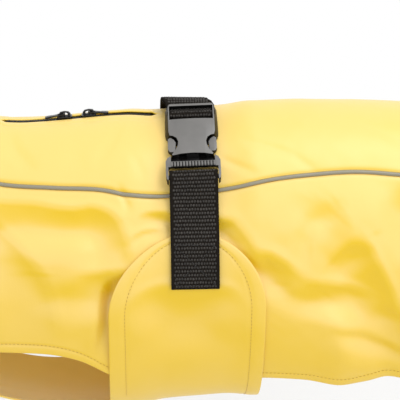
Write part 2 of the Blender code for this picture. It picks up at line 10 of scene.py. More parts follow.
import bmesh
import bpy
import numpy as np
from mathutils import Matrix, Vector


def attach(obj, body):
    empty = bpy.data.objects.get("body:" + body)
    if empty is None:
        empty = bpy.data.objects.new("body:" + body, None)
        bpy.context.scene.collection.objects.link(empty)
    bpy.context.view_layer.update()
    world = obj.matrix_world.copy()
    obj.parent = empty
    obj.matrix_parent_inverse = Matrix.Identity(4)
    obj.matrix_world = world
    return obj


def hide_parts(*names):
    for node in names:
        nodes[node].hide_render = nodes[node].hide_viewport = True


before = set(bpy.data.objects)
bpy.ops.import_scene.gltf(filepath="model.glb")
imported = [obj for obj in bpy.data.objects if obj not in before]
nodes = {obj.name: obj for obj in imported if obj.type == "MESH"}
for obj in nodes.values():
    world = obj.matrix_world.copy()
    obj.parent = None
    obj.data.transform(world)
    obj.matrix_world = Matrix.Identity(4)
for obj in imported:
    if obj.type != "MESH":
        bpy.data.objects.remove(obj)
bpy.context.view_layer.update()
MM = 0.001

# ================================================================ back panel
# One long panel from neck to tail, cut with a narrow slit for the lead. It gives the coat its worn form:
# rings round the body, with the belt sunk in over the back and the creases that wear has left in the cloth.
WALL = 1.5
NECK_EDGE = -225.0
TAIL_EDGE = 380.0
ZIP_FROM = -163.0
ZIP_TO = -28.0
ZIP_HALF = 3.6
ZIP_TAPER = 5.0
RIGHT_LIP_UP = 1.3
LEFT_LIP_DOWN = 0.5
PIPING_ACROSS = 3.2
SEAM_GAP = 0.3

SECTIONS = (
    # along  spine_x  spine_z  lean  half_width  half_height  hang
    (-225, -225, 10.5, 34, 74, 92, 0),
    (-190, -190, -1.5, 24, 82, 106, 0),
    (-155, -155, -6.5, 13, 90, 120, 3),
    (-110, -110, -5.5, 4, 97, 129, 4),
    (-60, -60, -1.5, 0, 100, 133, 0),
    (0, 0, 2.5, 0, 100, 133, 0),
    (60, 60, 5.0, 0, 100, 133, 0),
    (120, 120, 5.3, 0, 99, 131, 9),
    (180, 180, 2.8, 0, 97, 128, 15),
    (250, 250, -3.0, -3, 95, 122, 15),
    (320, 320, -13.0, -7, 91, 114, 12),
    (380, 379, -27.0, -12, 84, 104, 8),
)
SPINE_X, SPINE_Z, LEAN, HALF_WIDTH, HALF_HEIGHT, HANG = range(1, 7)
SEAM = (
    # along  around
    (-225, 60), (-190, 69), (-152, 76), (-114, 81.5), (-75, 87.5), (-55, 93.5), (-34, 96.5), (0, 96.5),
    (36, 93.5), (68, 88.5), (100, 85.3), (140, 83), (171, 84.2), (250, 87), (320, 85), (380, 78),
)
BELT_SINK = 2.5
BELT_FLAT = 25.0
BELT_FADE = 30.0

# Largest folds, each along a line on the cloth. A depth below zero is a trough.
FOLDS = (
    # side  from_along  from_around  to_along  to_around  width  depth
    (1, -148, 118, -112, 176, 11, -1.4),
    (1, 176, 120, 196, 200, 17, -3.2),
    (1, 232, 96, 226, 190, 19, -3.4),
    (1, 205, 178, 214, 262, 16, 4.5),
    (1, 244, 176, 252, 250, 15, -4.6),
    (1, 284, 150, 290, 236, 17, 4.2),
    (1, 322, 120, 328, 214, 15, -3.6),
    (1, 128, 214, 124, 276, 16, 4.0),
    (1, 164, 216, 168, 270, 14, -4.2),
    (1, -196, 84, -178, 190, 13, -2.6),
    (-1, -152, 132, -124, 178, 11, -1.2),
    (-1, 214, 104, 208, 186, 18, -3.4),
    (-1, 192, 186, 200, 264, 16, 4.4),
    (-1, 232, 180, 236, 252, 15, -4.4),
    (-1, 270, 156, 278, 240, 17, 4.2),
    (-1, 312, 128, 318, 216, 15, -3.6),
    (-1, 118, 220, 116, 278, 15, 3.8),
    (-1, 152, 218, 156, 272, 14, -4.0),
    (-1, -190, 88, -176, 186, 13, -2.4),
)

# Pleats of the worn cloth. Each has a hard line along points that run toward the tail or downward. On the
# right hand of that run the cloth drops over the width of its wall to its depth, and comes up again behind
# it. A row may also say how the wall bends: 1 for a straight one.
PLEATS = (
    # side  wall  back  points, as along, around, depth
    (1, 22, 26, 1.6, (-222, 82, 3, -190, 86, 4.4, -150, 92, 5.6, -129, 94, 6.8, -108, 100, 8, -96, 102.2, 9,
     -84, 101.4, 8.6, -75, 104.5, 8.4, -67, 110.5, 8, -61.5, 119, 7.4, -58.5, 129, 6.4, -56, 141, 4.4,
     -56, 153, 0)),
    (1, 22, 24, (-176, 92, 0, -164, 100, 3.4, -152, 111, 5, -144, 120, 6, -135, 129.5, 5.6, -126, 142, 5,
     -119, 154, 4.6, -113, 172, 4.4, -109, 190, 3.6, -106, 206, 2, -104, 222, 0)),
    (1, 22, 26, 1.5, (-102, 155, 0, -94.5, 155.3, 1.4, -87, 156.2, 4.2, -80, 157, 6.8, -72, 157.7, 7.6,
     -62, 158, 5, -54, 160, 0)),
    (1, 7, 22, (-84, 240, 0, -81, 216, 5, -79, 196, 7, -77, 180, 7, -74.5, 170, 5, -70, 161, 0)),
    (1, 9, 12, (-50, 112, 0, -44, 110.5, 1.6, -37, 109.4, 3, -27, 110.2, 4.2, -20, 112, 4.6, -12, 115, 4.2,
     -2, 116, 3)),
    (1, 5, 8, (-56, 131, 0, -50, 127.5, 1.4, -43.8, 124.4, 1.8, -35.6, 123.4, 2, -25, 124, 1.6,
     -8, 125, 0)),
    (1, 12, 16, (4, 118, 3.5, 16, 119, 5.4, 24, 120.3, 5.4, 31.6, 122.4, 3.6, 37, 128.5, 2.8, 43, 137, 2.8,
     49, 146, 2, 55, 152, 0)),
    (1, 18, 20, 1.25, (42, 143, 0, 50, 148.5, 3.4, 61.7, 152, 7.2, 72.5, 158.5, 7.4, 83, 167, 4.6,
     91, 173, 1.8, 99, 180, 0)),
    (1, 17, 20, 1.25, (84, 177, 0, 92, 176.5, 2.6, 102, 178.3, 6.2, 115, 180.3, 8, 126, 183.6, 7.8,
     136, 187, 6, 146, 191, 3, 154, 196, 0)),
    (1, 9, 14, (124, 122, 0, 115, 127.5, 0.7, 103, 132.3, 1.2, 98.2, 142, 1.8, 97.4, 154.6, 1.4,
     99, 166, 0)),
    (1, 13, 16, (104, 168, 0, 108, 162, 1.2, 115.8, 154.8, 2.6, 124, 147.3, 3.4, 131.6, 142.2, 1.9,
     139, 139, 0)),
    (1, 31, 30, (134, 134, 0, 138.4, 138, 2.6, 143, 144, 5.6, 150.5, 157.8, 8.6, 159.6, 175, 10,
     170, 197, 10, 180, 220, 6.4, 187, 246, 0)),
    (1, 14, 16, (78, 96, 0, 95.6, 105, 0.8, 108, 112, 1.1, 124, 125, 0.9, 138, 138, 0)),
    (-1, 14, 25, (-216, 84, 2, -180, 88, 4, -148, 93, 5.6, -120, 98, 6.6, -98, 99, 6.4, -84, 104, 5.8,
     -74, 113, 5.2, -68, 126, 4, -65, 142, 0)),
    (-1, 16, 22, (-158, 112, 0, -146, 122, 4, -134, 134, 5.2, -124, 150, 5.2, -117, 170, 3.6,
     -112, 192, 0)),
    (-1, 9, 20, (-112, 148, 0, -98, 150, 3, -84, 152, 4.2, -70, 154, 3, -60, 158, 0)),
    (-1, 9, 12, (-48, 110, 0, -36, 108, 2.6, -22, 110, 3.8, -6, 113, 2)),
    (-1, 12, 16, (6, 120, 2.5, 22, 123, 5, 36, 131, 5.2, 47, 146, 6.2, 62, 153, 6, 80, 162, 4.6,
     98, 174, 0)),
    (-1, 8, 13, (98, 166, 0, 108, 156, 2.4, 120, 146, 3.2, 132, 140, 0)),
    (-1, 20, 26, (128, 132, 0, 136, 139, 3, 144, 148, 5.6, 156, 172, 7.2, 166, 198, 6.4, 174, 226, 3,
     178, 244, 0)),
    (-1, 8, 12, (118, 120, 0, 106, 130, 2, 98, 142, 2.6, 95, 156, 1.6, 96, 166, 0)),
)

# Softer creases. `above` and `below` are the widths on the left and right hand of the run, and `sharp` goes
# from a round hollow at 0 to a hard fold line at 1. A depth below zero is a trough. Side 0 stands for both
# sides.
CREASES = (
    # side  above  below  sharp  points, as along, around, depth
    (1, 14, 14, 0.0, (-150, 112, 0, -130, 119, 1.2, -108, 126, 1.8, -90, 133, 1.8, -74, 141, 0)),
    (1, 16, 22, 0.2, (176, 88, 0, 175, 105, -2.4, 174, 125, -3, 176, 145, -2, 178, 160, 0)),
    (1, 4, 4, 0.4, (-63, 82, 0, -59.5, 91, -1, -56, 100, -1.4, -53, 110, 0)),
    (1, 9, 13, 0.3, (190, 128, 0, 204, 150, -3.6, 212, 176, -5, 214, 204, -4, 210, 236, 0)),
    (1, 7, 15, 0.5, (216, 112, 0, 236, 120, -3, 262, 131, -4, 290, 148, -2.6, 306, 160, 0)),
    (1, 12, 8, 0.4, (246, 158, 0, 262, 176, -3.8, 280, 198, -4.6, 300, 214, -2.8, 318, 222, 0)),
    (1, 10, 14, 0.2, (318, 96, 0, 328, 118, -2.6, 336, 140, -3, 338, 164, 0)),
    (1, 9, 12, 0.4, (110, 220, 0, 132, 226, -3.2, 156, 238, -3.8, 182, 246, -2.4, 200, 250, 0)),
    (-1, 10, 14, 0.3, (196, 122, 0, 214, 144, -3.4, 224, 170, -4.8, 222, 200, -3.8, 216, 230, 0)),
    (-1, 8, 14, 0.5, (236, 108, 0, 256, 122, -3.4, 280, 134, -3.8, 306, 156, 0)),
    (-1, 9, 13, 0.4, (268, 170, 0, 284, 190, -4, 304, 206, -3.4, 322, 214, 0)),
    (-1, 10, 12, 0.4, (96, 224, 0, 124, 230, -3.4, 150, 240, -3.2, 172, 246, 0)),
    (0, 9, 9, 0.2, (-158, 10, 0, -154, 22, -0.4, -147, 41, -0.6, -133, 62, -0.4, -126, 72, 0)),
    (0, 7, 8, 0.3, (-58, 18, 0, -62, 30, -0.4, -68, 46, -0.5, -76, 59, -0.3, -82, 68, 0)),
    (0, 6, 7, 0.3, (-55, 44, 0, -52, 54, -0.3, -47, 64, -0.4, -43, 75, -0.3, -38, 84, 0)),
    (0, 5, 6, 0.3, (20, 64, 0, 29, 70, -0.6, 43, 78, -0.7, 57, 85, 0)),
    (0, 6, 7, 0.3, (38, 48, 0, 52, 55, -0.5, 73, 63, -0.6, 93, 73, 0)),
    (0, 6, 7, 0.2, (82, 68, 0, 89, 73, -0.4, 98.5, 80, -0.4, 106, 86, 0)),
    (0, 10, 12, 0.1, (128, 30, 0, 160, 44, -0.6, 190, 62, -0.7, 214, 80, 0)),
    (0, 12, 10, 0.1, (250, 70, 0, 276, 52, -0.8, 304, 38, -0.7, 330, 20, 0)),
)
# Hollow in each wing below the sewn end of its webbing. The side panel under it follows.
WING_PLEATS = (
    # side  wall  back  points, as along, around, depth
    (0, 38, 40, (-60, 206, 0, -58, 192, 2, -50, 182, 4, -40, 176, 6, -26, 174, 7.2, -13, 176.5, 8,
     4, 178, 8, 20, 178, 6.6, 29, 181.5, 4.8, 35, 190, 2.6, 38, 204, 0)),
)


def smooth(value):
    value = np.clip(value, 0.0, 1.0)
    return value * value * (3 - 2 * value)


def cubic(t, span, start, end, start_slope, end_slope):
    """A place on the smooth curve between two rows."""
    here = (2 * t**3 - 3 * t**2 + 1) * start + (t**3 - 2 * t**2 + t) * span * start_slope
    return here + (3 * t**2 - 2 * t**3) * end + (t**3 - t**2) * span * end_slope


def read(table, column, at):
    """A column's values at places along a table, on a smooth curve through its rows."""
    places = np.array([row[0] for row in table], float)
    values = np.array([row[column] for row in table], float)
    slopes = np.gradient(values, places)
    at = np.clip(at, places[0], places[-1])
    i = np.clip(np.searchsorted(places, at) - 1, 0, len(places) - 2)
    span = places[i + 1] - places[i]
    return cubic((at - places[i]) / span, span, values[i], values[i + 1], slopes[i], slopes[i + 1])


def unrolled_sections():
    """Half cross-sections at every millimetre along, from the centre back to the bottom in equal steps."""
    stations = np.arange(NECK_EDGE - 3, TAIL_EDGE + 4)
    shares = np.linspace(0, 1, 361)
    turn = np.linspace(0, math.pi, 361)
    girths, outs, downs = [], [], []
    for wide, tall in zip(read(SECTIONS, HALF_WIDTH, stations), read(SECTIONS, HALF_HEIGHT, stations)):
        out = wide * np.sin(turn)
        down = tall * (1 - np.cos(turn))
        length = np.concatenate([[0], np.cumsum(np.hypot(np.diff(out), np.diff(down)))])
        girths.append(length[-1])
        outs.append(np.interp(shares, length / length[-1], out))
        downs.append(np.interp(shares, length / length[-1], down))
    return stations[0], np.array(girths), np.array(outs), np.array(downs)


FIRST_STATION, GIRTHS, OUTS, DOWNS = unrolled_sections()


def half_girth(along):
    return np.interp(np.asarray(along, float) - FIRST_STATION, np.arange(len(GIRTHS)), GIRTHS)


def between(values, i, j, a, b):
    """Values inside the squares of a grid, a and b of the way from its points i and j."""
    near = values[i, j] * (1 - b) + values[i, j + 1] * b
    far = values[i + 1, j] * (1 - b) + values[i + 1, j + 1] * b
    return near * (1 - a) + far * a


def form(along, around):
    """Points of the bare form, before belt, folds and hang."""
    along, around = np.broadcast_arrays(np.asarray(along, float), np.asarray(around, float))
    girth = half_girth(along)
    reach = np.abs(around)
    past = reach > girth
    reach = np.where(past, 2 * girth - reach, reach)
    side = np.where(around > 0, -1.0, 1.0) * np.where(past, -1.0, 1.0)
    row = np.clip(along - FIRST_STATION, 0, len(GIRTHS) - 1.001)
    place = np.clip(reach / girth, 0, 1) * (OUTS.shape[1] - 1.001)
    i, j = row.astype(int), place.astype(int)
    square = i, j, row - i, place - j
    lean = np.radians(read(SECTIONS, LEAN, along))
    fall = between(DOWNS, *square)
    x = read(SECTIONS, SPINE_X, along) - np.sin(lean) * fall
    z = read(SECTIONS, SPINE_Z, along) - np.cos(lean) * fall
    return np.stack([x, side * between(OUTS, *square), z], axis=-1)


def outward(along, around):
    step = 1.5
    round_body = form(along, around + step) - form(along, around - step)
    down_back = form(along + step, around) - form(along - step, around)
    normal = np.cross(round_body, down_back)
    return normal / np.linalg.norm(normal, axis=-1, keepdims=True)


def fold(along, around):
    """Height of the largest folds."""
    height = np.zeros(np.shape(along))
    side = np.where(around > 0, 1, -1)
    for row_side, from_along, from_around, to_along, to_around, width, depth in FOLDS:
        run_along, run_around = to_along - from_along, to_around - from_around
        off_along, off_around = along - from_along, np.abs(around) - from_around
        place = (off_along * run_along + off_around * run_around) / (run_along**2 + run_around**2)
        place = np.clip(place, 0, 1)
        away = (off_along - run_along * place) ** 2 + (off_around - run_around * place) ** 2
        height += np.where(side == row_side, depth * np.exp(-away / width**2), 0.0)
    return height


def lengths_along(points):
    """Distance of each point from the first, along the line through them all."""
    return np.concatenate([[0], np.cumsum(np.linalg.norm(np.diff(points, axis=0), axis=1))])


def soft_path(points, pieces=5, measured=3):
    """A smooth path through rows, with its speed set by the distance between their first columns."""
    rows = np.array(points, float)
    places = lengths_along(rows[:, :measured])
    slopes = np.gradient(rows, places, axis=0)
    path = [cubic(t, places[i + 1] - places[i], rows[i], rows[i + 1], slopes[i], slopes[i + 1])
            for i in range(len(rows) - 1) for t in np.arange(pieces) / pieces]
    return np.array(path + [rows[-1]])


def along_lines(along, around, table, shape):
    """Sum of a table's rows. `shape` gives the height at a distance on either hand of a row's line."""
    flat_along, flat_around = np.ravel(along), np.ravel(around)
    height = np.zeros(len(flat_along))
    reach = np.abs(flat_around)
    for side, *widths, points in table:
        path = soft_path(np.array(points, float).reshape(-1, 3), measured=2)
        margin = 2 * max(widths[:2])
        near = (flat_along > path[:, 0].min() - margin) & (flat_along < path[:, 0].max() + margin)
        near &= (reach > path[:, 1].min() - margin) & (reach < path[:, 1].max() + margin)
        if side:
            near &= np.sign(flat_around) == side
        here = np.stack([flat_along[near], reach[near]], axis=1)
        distances, heights = [], []
        for start, end in zip(path, path[1:]):
            run = end - start
            off = here - start[:2]
            place = np.clip(off @ run[:2] / (run[:2] @ run[:2]), 0, 1)
            away = np.linalg.norm(off - place[:, None] * run[:2], axis=1)
            right_hand = run[0] * off[:, 1] > run[1] * off[:, 0]
            distances.append(away)
            heights.append((start[2] + run[2] * place) * shape(away, right_hand, *widths))
        beyond = np.array(distances) - np.min(distances, axis=0)
        share = np.exp(-beyond / (0.25 * np.min(distances, axis=0) + 0.1))
        height[near] += (share * heights).sum(axis=0) / share.sum(axis=0)
    return height.reshape(np.shape(along))


def crease_shape(away, right_hand, above, below, sharp):
    width = np.where(right_hand, below, above)
    bell = np.exp(-((1.3 * away / width) ** 2))
    tent = np.clip(1 - (np.hypot(away, 1.2) - 1.2) / width, 0, 1) ** 1.5
    return bell + (tent - bell) * sharp


LIP_UP = 0.1  # share of a pleat's depth by which its other side swells, at its highest
LIP_AWAY = 5.0


def pleat_shape(away, right_hand, wall, back, bend=1.9):
    drop = 1 - np.clip(1 - away / (1.15 * wall), 0, 1) ** bend
    rise = smooth((away - wall) / back)
    lip = LIP_UP * (away / LIP_AWAY) ** 2 * np.exp(1 - (away / LIP_AWAY) ** 2)
    return np.where(right_hand, drop * (rise - 1), lip)


def ripple(along, around, period, seed):
    """Smooth uneven waves between -1 and 1, the same on every run."""
    grid = np.random.default_rng(seed).uniform(-1, 1, (64, 64))
    u, v = along / period + 20, around / period + 30
    i, j = np.floor(u).astype(int), np.floor(v).astype(int)
    return between(grid, i % 63, j % 63, smooth(u - i), smooth(v - j))


WING_ALONG = -6.0
WING_HALF = 65.0
WING_TALL = 68.0
WING_AROUND = 197.0
HANG_FROM = 180.0
HANG_OVER = 90.0
UNEVEN = ((0.35, 31, 3), (0.14, 12, 8))  # height, length and seed of the small waves in the cloth
CLEAR_OF_BELT = 14.0  # over this distance the folds fade out toward the belt, the seam and a wing
CLEAR_OF_SEAM = 16.0
CLEAR_OF_WING = 9.0


def inside_wing(along, around):
    """About how far inside the outline of a wing a place is, or below zero outside it."""
    beyond = np.clip((WING_AROUND - np.abs(around)) / WING_TALL, 0, None)
    return (1 - np.hypot((along - WING_ALONG) / WING_HALF, beyond)) * WING_HALF


def sunk_by_belt(along):
    return BELT_SINK * (1 - smooth((np.abs(along) - BELT_FLAT) / BELT_FADE))


def hang(along, around):
    """How far the lower part of a side panel stands off the form."""
    return read(SECTIONS, HANG, along) * smooth((np.abs(around) - HANG_FROM) / HANG_OVER)


def worn(along, around, on_wing=False):
    """The inside of the cloth as it is worn, and the direction out of it."""
    clear_of_belt = smooth((np.abs(along) - BELT_FLAT) / CLEAR_OF_BELT)
    clear_of_seam = smooth((np.abs(around) - read(SEAM, 1, along)) / CLEAR_OF_SEAM)
    rest = fold(along, around) * clear_of_belt * clear_of_seam + hang(along, around) - sunk_by_belt(along)
    rest += along_lines(along, around, WING_PLEATS, pleat_shape)
    if not on_wing:
        outside = smooth(1 - inside_wing(along, around) / CLEAR_OF_WING)
        worn_in = along_lines(along, around, PLEATS, pleat_shape) * clear_of_seam
        rest += (worn_in + along_lines(along, around, CREASES, crease_shape)) * outside
    rest += sum(height * ripple(along, around, *wave) for height, *wave in UNEVEN) * clear_of_belt
    normal = outward(along, around)
    return form(along, around) + normal * rest[..., None], normal


def cloth(along, around, lift):
    along, around = np.broadcast_arrays(np.asarray(along, float), np.asarray(around, float))
    base, normal = worn(along, around)
    return base + normal * np.broadcast_to(lift, along.shape)[..., None]


# Rows of points lie close together at a cut edge, so that the turned hem has a round edge.
EDGE_STEPS = np.array([0.0, 0.25, 0.7, 1.4, 2.4, 3.8, 5.6, 7.4])
CLOTH_STEP = 2.5


def spread(lengths, count):
    """Distances across a piece of these lengths: close at both edges, even between them."""
    lengths = np.asarray(lengths, float)[:, None]
    share = np.linspace(0, 1, count + 1)[1:-1]
    middle = EDGE_STEPS[-1] + (lengths - 2 * EDGE_STEPS[-1]) * share
    return np.hstack([EDGE_STEPS + 0 * lengths, middle, lengths - EDGE_STEPS[::-1]])


def stretch(first, last, step=CLOTH_STEP):
    count = max(2, round((last - first - 2 * EDGE_STEPS[-1]) / step))
    return first + spread([last - first], count)[0]


HEM_STITCH = 9.0
HEM_ROUND = 0.9
STITCH_DEEP = 0.45
STITCH_WIDE = 0.9
TUCK_DEEP = 0.8
TUCK_WIDE = 1.6
PUFF_BEYOND = 0.3  # share of a hem's fullness that goes on past its stitches, over the next few millimetres
PUFF_FADE = 4.0


def half_wall(hem):
    """Half the thickness of the cloth, rounded off at a hem."""
    return WALL / 2 * np.sqrt(np.clip(1 - (1 - np.clip(hem / HEM_ROUND, 0.02, 1)) ** 2, 0, 1))


def outer_lift(hem, seam, stitch=HEM_STITCH, puff=0.35):
    """Top of the cloth: round at a hem, full over its turning, drawn in at the stitches and at a seam."""
    turning = puff * np.sin(math.pi * np.clip(hem / stitch, 0, 1)) ** 0.7
    beyond = PUFF_BEYOND * puff * (1 - smooth((hem - stitch) / PUFF_FADE)) * (hem > stitch)
    stitches = STITCH_DEEP * np.exp(-(((hem - stitch) / STITCH_WIDE) ** 2))
    tuck = TUCK_DEEP * np.exp(-((seam / TUCK_WIDE) ** 2))
    return WALL / 2 + half_wall(hem) + turning + beyond - stitches - tuck


def inner_lift(hem, seam):
    return WALL / 2 - half_wall(hem)


def flush(along, around):
    return 0.0


def put(name, data):
    made = bpy.data.objects.new(name, data)
    bpy.context.scene.collection.objects.link(made)
    return made


def closed_piece(name, points, faces, cut, look):
    """A mesh of points in millimetres. `cut` has the place of each on the flat piece."""
    mesh = bpy.data.meshes.new(name)
    mesh.from_pydata((points * MM).tolist(), [], faces)
    corner = np.zeros(len(mesh.loops), int)
    mesh.loops.foreach_get("vertex_index", corner)
    mesh.uv_layers.new(name="cut").data.foreach_set("uv", (cut[corner] * MM).ravel().astype(np.float32))
    bm = bmesh.new()
    bm.from_mesh(mesh)
    bmesh.ops.recalc_face_normals(bm, faces=bm.faces[:])
    bm.to_mesh(mesh)
    bm.free()
    mesh.materials.append(look)
    mesh.shade_smooth()
    return put(name, mesh)


# Painted shade: the yellow is deeper where the cloth is turned away from above and from the tail end, as if
# lit from there. The tone is kept on the mesh and does not follow the lamps.
PAINTED_LIGHT_SIDE = np.array((0.35, -0.2, 0.92))
PAINTED_CREASE_SHADE = 1.9
PAINTED_UNDERSIDE_SHADE = 0.85
TURNED_FROM = 0.42  # the upward share of a face's direction below which it counts as turned down
TURNED_OVER = 0.75
MOST_BRIGHTER = 0.04
DEEPEST = 1.4


def paint_shade(mesh, normal):
    """Keep on each point its painted shade: how far it is turned down, and away from the lit side of the bare
    form.
    """
    facing = np.zeros(len(mesh.vertices) * 3)
    mesh.vertex_normals.foreach_get("vector", facing)
    facing = facing.reshape(-1, 3)
    bare = np.concatenate([-normal, normal])
    painted_shade = PAINTED_UNDERSIDE_SHADE * smooth((TURNED_FROM - facing[:, 2]) / TURNED_OVER)
    painted_shade += PAINTED_CREASE_SHADE * np.clip((bare - facing) @ PAINTED_LIGHT_SIDE, -MOST_BRIGHTER, 1)
    painted_shade = DEEPEST * (1 - np.exp(-np.clip(painted_shade, 0, None)))
    kept = mesh.attributes.new("painted_shade", "FLOAT", "POINT")
    kept.data.foreach_set("value", painted_shade.astype(np.float32))


def shell(name, grids, look, base=flush, low=inner_lift, high=outer_lift, on_wing=False):
    """A closed wall on the worn form. Each grid holds along, around, and distance to a hem and a seam."""
    places = np.concatenate([np.stack([layer.ravel() for layer in grid], axis=1) for grid in grids])
    keys = np.round(places[:, :2] * 50).astype(int)
    _, first, index = np.unique(keys, axis=0, return_index=True, return_inverse=True)
    index = index.ravel()
    along, around, hem, seam = places[first].T
    faces = []
    start = 0
    for grid in grids:
        columns, rows = grid[0].shape
        numbers = index[start:start + columns * rows].reshape(columns, rows)
        start += columns * rows
        corners = numbers[:-1, :-1], numbers[:-1, 1:], numbers[1:, 1:], numbers[1:, :-1]
        squares = np.stack(corners, axis=-1).reshape(-1, 4)
        kept = [tuple(dict.fromkeys(face)) for face in squares.tolist()]
        faces += [face for face in kept if len(face) > 2]
    count = len(along)
    used = set()
    for face in faces:
        used.update(zip(face, face[1:] + face[:1]))
    sides = [(a, b, b + count, a + count) for a, b in used if (b, a) not in used]
    under = [face[::-1] for face in faces]
    over = [tuple(i + count for i in face) for face in faces]
    inside, normal = worn(along, around, on_wing)
    lift = base(along, around) + np.zeros(count)
    bottom = inside + normal * (low(hem, seam) + lift)[:, None]
    top = inside + normal * (high(hem, seam) + lift)[:, None]
    cut = np.tile(np.stack([along, around], axis=1), (2, 1))
    made = closed_piece(name, np.concatenate([bottom, top]), under + over + sides, cut, look)
    # Painted shade, kept on each point for the cloth's colour.
    paint_shade(made.data, normal)
    return made


def dress(made, node=None, body="garment"):
    """A finished piece rides on its body, and may stand for a solid."""
    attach(made, body)
    if node:
        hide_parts(node)
    return made


def add_node(tree, kind, *wires, **values):
    """A node with its settings, and with other nodes' outputs wired to its inputs."""
    node = tree.nodes.new(kind)
    for key, value in values.items():
        if hasattr(node, key):
            setattr(node, key, value)
        else:
            node.inputs[key.replace("_", " ")].default_value = value
    for source, target in wires:
        tree.links.new(source, node.inputs[target])
    return node


class Look:
    """A finish whose colour, gloss and relief come from a few patterns."""

    def __init__(self, name, roughness, **settings):
        self.made = bpy.data.materials.new(name)
        self.made.use_nodes = True
        self.shader = self.made.node_tree.nodes["Principled BSDF"]
        for socket, value in (("Roughness", roughness), *settings.items()):
            self.shader.inputs[socket.replace("_", " ")].default_value = value

    def add(self, kind, *wires, **values):
        return add_node(self.made.node_tree, kind, *wires, **values)

    def wire(self, output, socket):
        self.made.node_tree.links.new(output, self.shader.inputs[socket])

    def object_place(self):
        return self.add("ShaderNodeTexCoord").outputs["Object"]

    def cut_place(self):
        return self.add("ShaderNodeUVMap", uv_map="cut").outputs["UV"]

    def noise(self, scale, detail):
        place = (self.object_place(), "Vector")
        return self.add("ShaderNodeTexNoise", place, Scale=scale, Detail=detail).outputs["Fac"]

    def wave(self, place, scale, distortion, bands="X"):
        return self.add("ShaderNodeTexWave", (place, "Vector"), Scale=scale, Distortion=distortion,
                        bands_direction=bands).outputs["Fac"]

    def both(self, one, other, operation="ADD"):
        return self.add("ShaderNodeMath", (one, 0), (other, 1), operation=operation).outputs[0]

    def ranged(self, pattern, low, high):
        return self.add("ShaderNodeMapRange", (pattern, "Value"), To_Min=low, To_Max=high).outputs["Result"]

    def colour(self, pattern, dark, light, first=0.0, last=1.0):
        tone = self.add("ShaderNodeValToRGB", (pattern, "Fac"))
        for stop, position, shade in zip(tone.color_ramp.elements, (first, last), (dark, light)):
            stop.position = position
            stop.color = (*shade, 1)
        self.wire(tone.outputs["Color"], "Base Color")

    def relief(self, *patterns):
        """Each pattern with its strength and its height, the later ones over the earlier."""
        wires = []
        for pattern, strength, distance in patterns:
            bump = self.add("ShaderNodeBump", (pattern, "Height"), *wires, Strength=strength,
                            Distance=distance)
            wires = [(bump.outputs["Normal"], "Normal")]
        self.wire(bump.outputs["Normal"], "Normal")


def coated_cloth():
    """Yellow coated cloth: a slightly uneven colour with painted shade in a deeper yellow, a satin skin and a
    very fine woven grain under it.
    """
    look = Look("coated_cloth", 0.40, Specular_IOR_Level=0.6, Sheen_Weight=0.15, Sheen_Roughness=0.4)
    cloud = look.noise(16.0, 3.0)
    # Painted shade: the colour runs to a deeper yellow where the mesh keeps more painted shade.
    turned = look.add("ShaderNodeAttribute", attribute_name="painted_shade").outputs["Fac"]
    depth = look.both(turned, look.ranged(cloud, -0.12, 0.12))
    look.colour(depth, (0.84, 0.60, 0.16), (0.81, 0.535, 0.004))
    look.wire(look.ranged(cloud, 0.37, 0.45), "Roughness")
    flat = look.cut_place()
    grain = look.both(look.wave(flat, 330.0, 0.6), look.wave(flat, 330.0, 0.6, "Y"))
    look.relief((grain, 0.05, 0.0002), (look.noise(420.0, 2.0), 0.08, 0.0004))
    return look.made


CLOTH = coated_cloth()
NECK_BEND = 6.0
NECK_BEND_TO = -165.0
NECK_BEND_LONG = 60.0
TAIL_BEND = -30.0
TAIL_BEND_FROM = 270.0
TAIL_BEND_LONG = 110.0
ZIP_ASIDE = 4.0  # how far to the left the slit lies at its belt end, reached over a length from a place on
ZIP_ASIDE_FROM = -80.0
ZIP_ASIDE_LONG = 50.0
LIP_OFF = 5.0  # each lip is highest or lowest at this distance from the slit's line, and fades over a width
LIP_WIDE = 6.0
LIP_FROM = -150.0  # from here on, over a length, the lips change from both low to one high
LIP_LONG = 75.0
RIGHT_LIP_LOW = 0.15


def end_shift(along, share):
    """The neck and tail edges bend toward the middle at the sides. `share` is 0 at the centre back."""
    neck = smooth((NECK_BEND_TO - along) / NECK_BEND_LONG) * (NECK_BEND * share**2)
    tail = smooth((along - TAIL_BEND_FROM) / TAIL_BEND_LONG) * (TAIL_BEND * share**2)
    return along + neck + tail


def zip_line(along):
    return ZIP_ASIDE * smooth((np.asarray(along, float) - ZIP_ASIDE_FROM) / ZIP_ASIDE_LONG)


def zip_half(along):
    near = np.minimum(along - ZIP_FROM, ZIP_TO - along)
    return ZIP_HALF * np.clip(near / ZIP_TAPER, 0.0, 1.0)


def slit_lips(along, around):
    """Toward the belt the right lip of the slit stands up over the zip. Toward the neck both lie low."""
    off = around - zip_line(along)
    near = smooth(zip_half(along) / ZIP_HALF) * np.exp(-(((np.abs(off) - LIP_OFF) / LIP_WIDE) ** 2))
    toward_belt = smooth((along - LIP_FROM) / LIP_LONG)
    left = LEFT_LIP_DOWN * (toward_belt - 1)
    right = RIGHT_LIP_UP * (toward_belt - RIGHT_LIP_LOW)
    return np.where(off > 0, left, right) * near


def back_columns():
    """Places along the back, closer together between the zip and the flank, where most creases are."""
    taper = np.linspace(0, ZIP_TAPER, 5)
    stops = (NECK_EDGE + EDGE_STEPS, np.arange(NECK_EDGE + 10, ZIP_FROM - 1, 2.8), ZIP_FROM + taper,
             np.linspace(ZIP_FROM + ZIP_TAPER, ZIP_TO - ZIP_TAPER, 66), ZIP_TO - taper,
             np.linspace(ZIP_TO, 190, 124), np.arange(193, TAIL_EDGE - 9, 2.9), TAIL_EDGE - EDGE_STEPS)
    return np.unique(np.round(np.concatenate(stops), 4))


COLUMNS = back_columns()
HEM_ENDS = np.minimum(COLUMNS - NECK_EDGE, TAIL_EDGE - COLUMNS)
NO_EDGE = 99.0  # distance to a hem or a seam where there is none


def facing_out(side, *layers):
    """A grid's layers, turned round where its faces would look inward."""
    return layers if side > 0 else [layer[:, ::-1] for layer in layers]


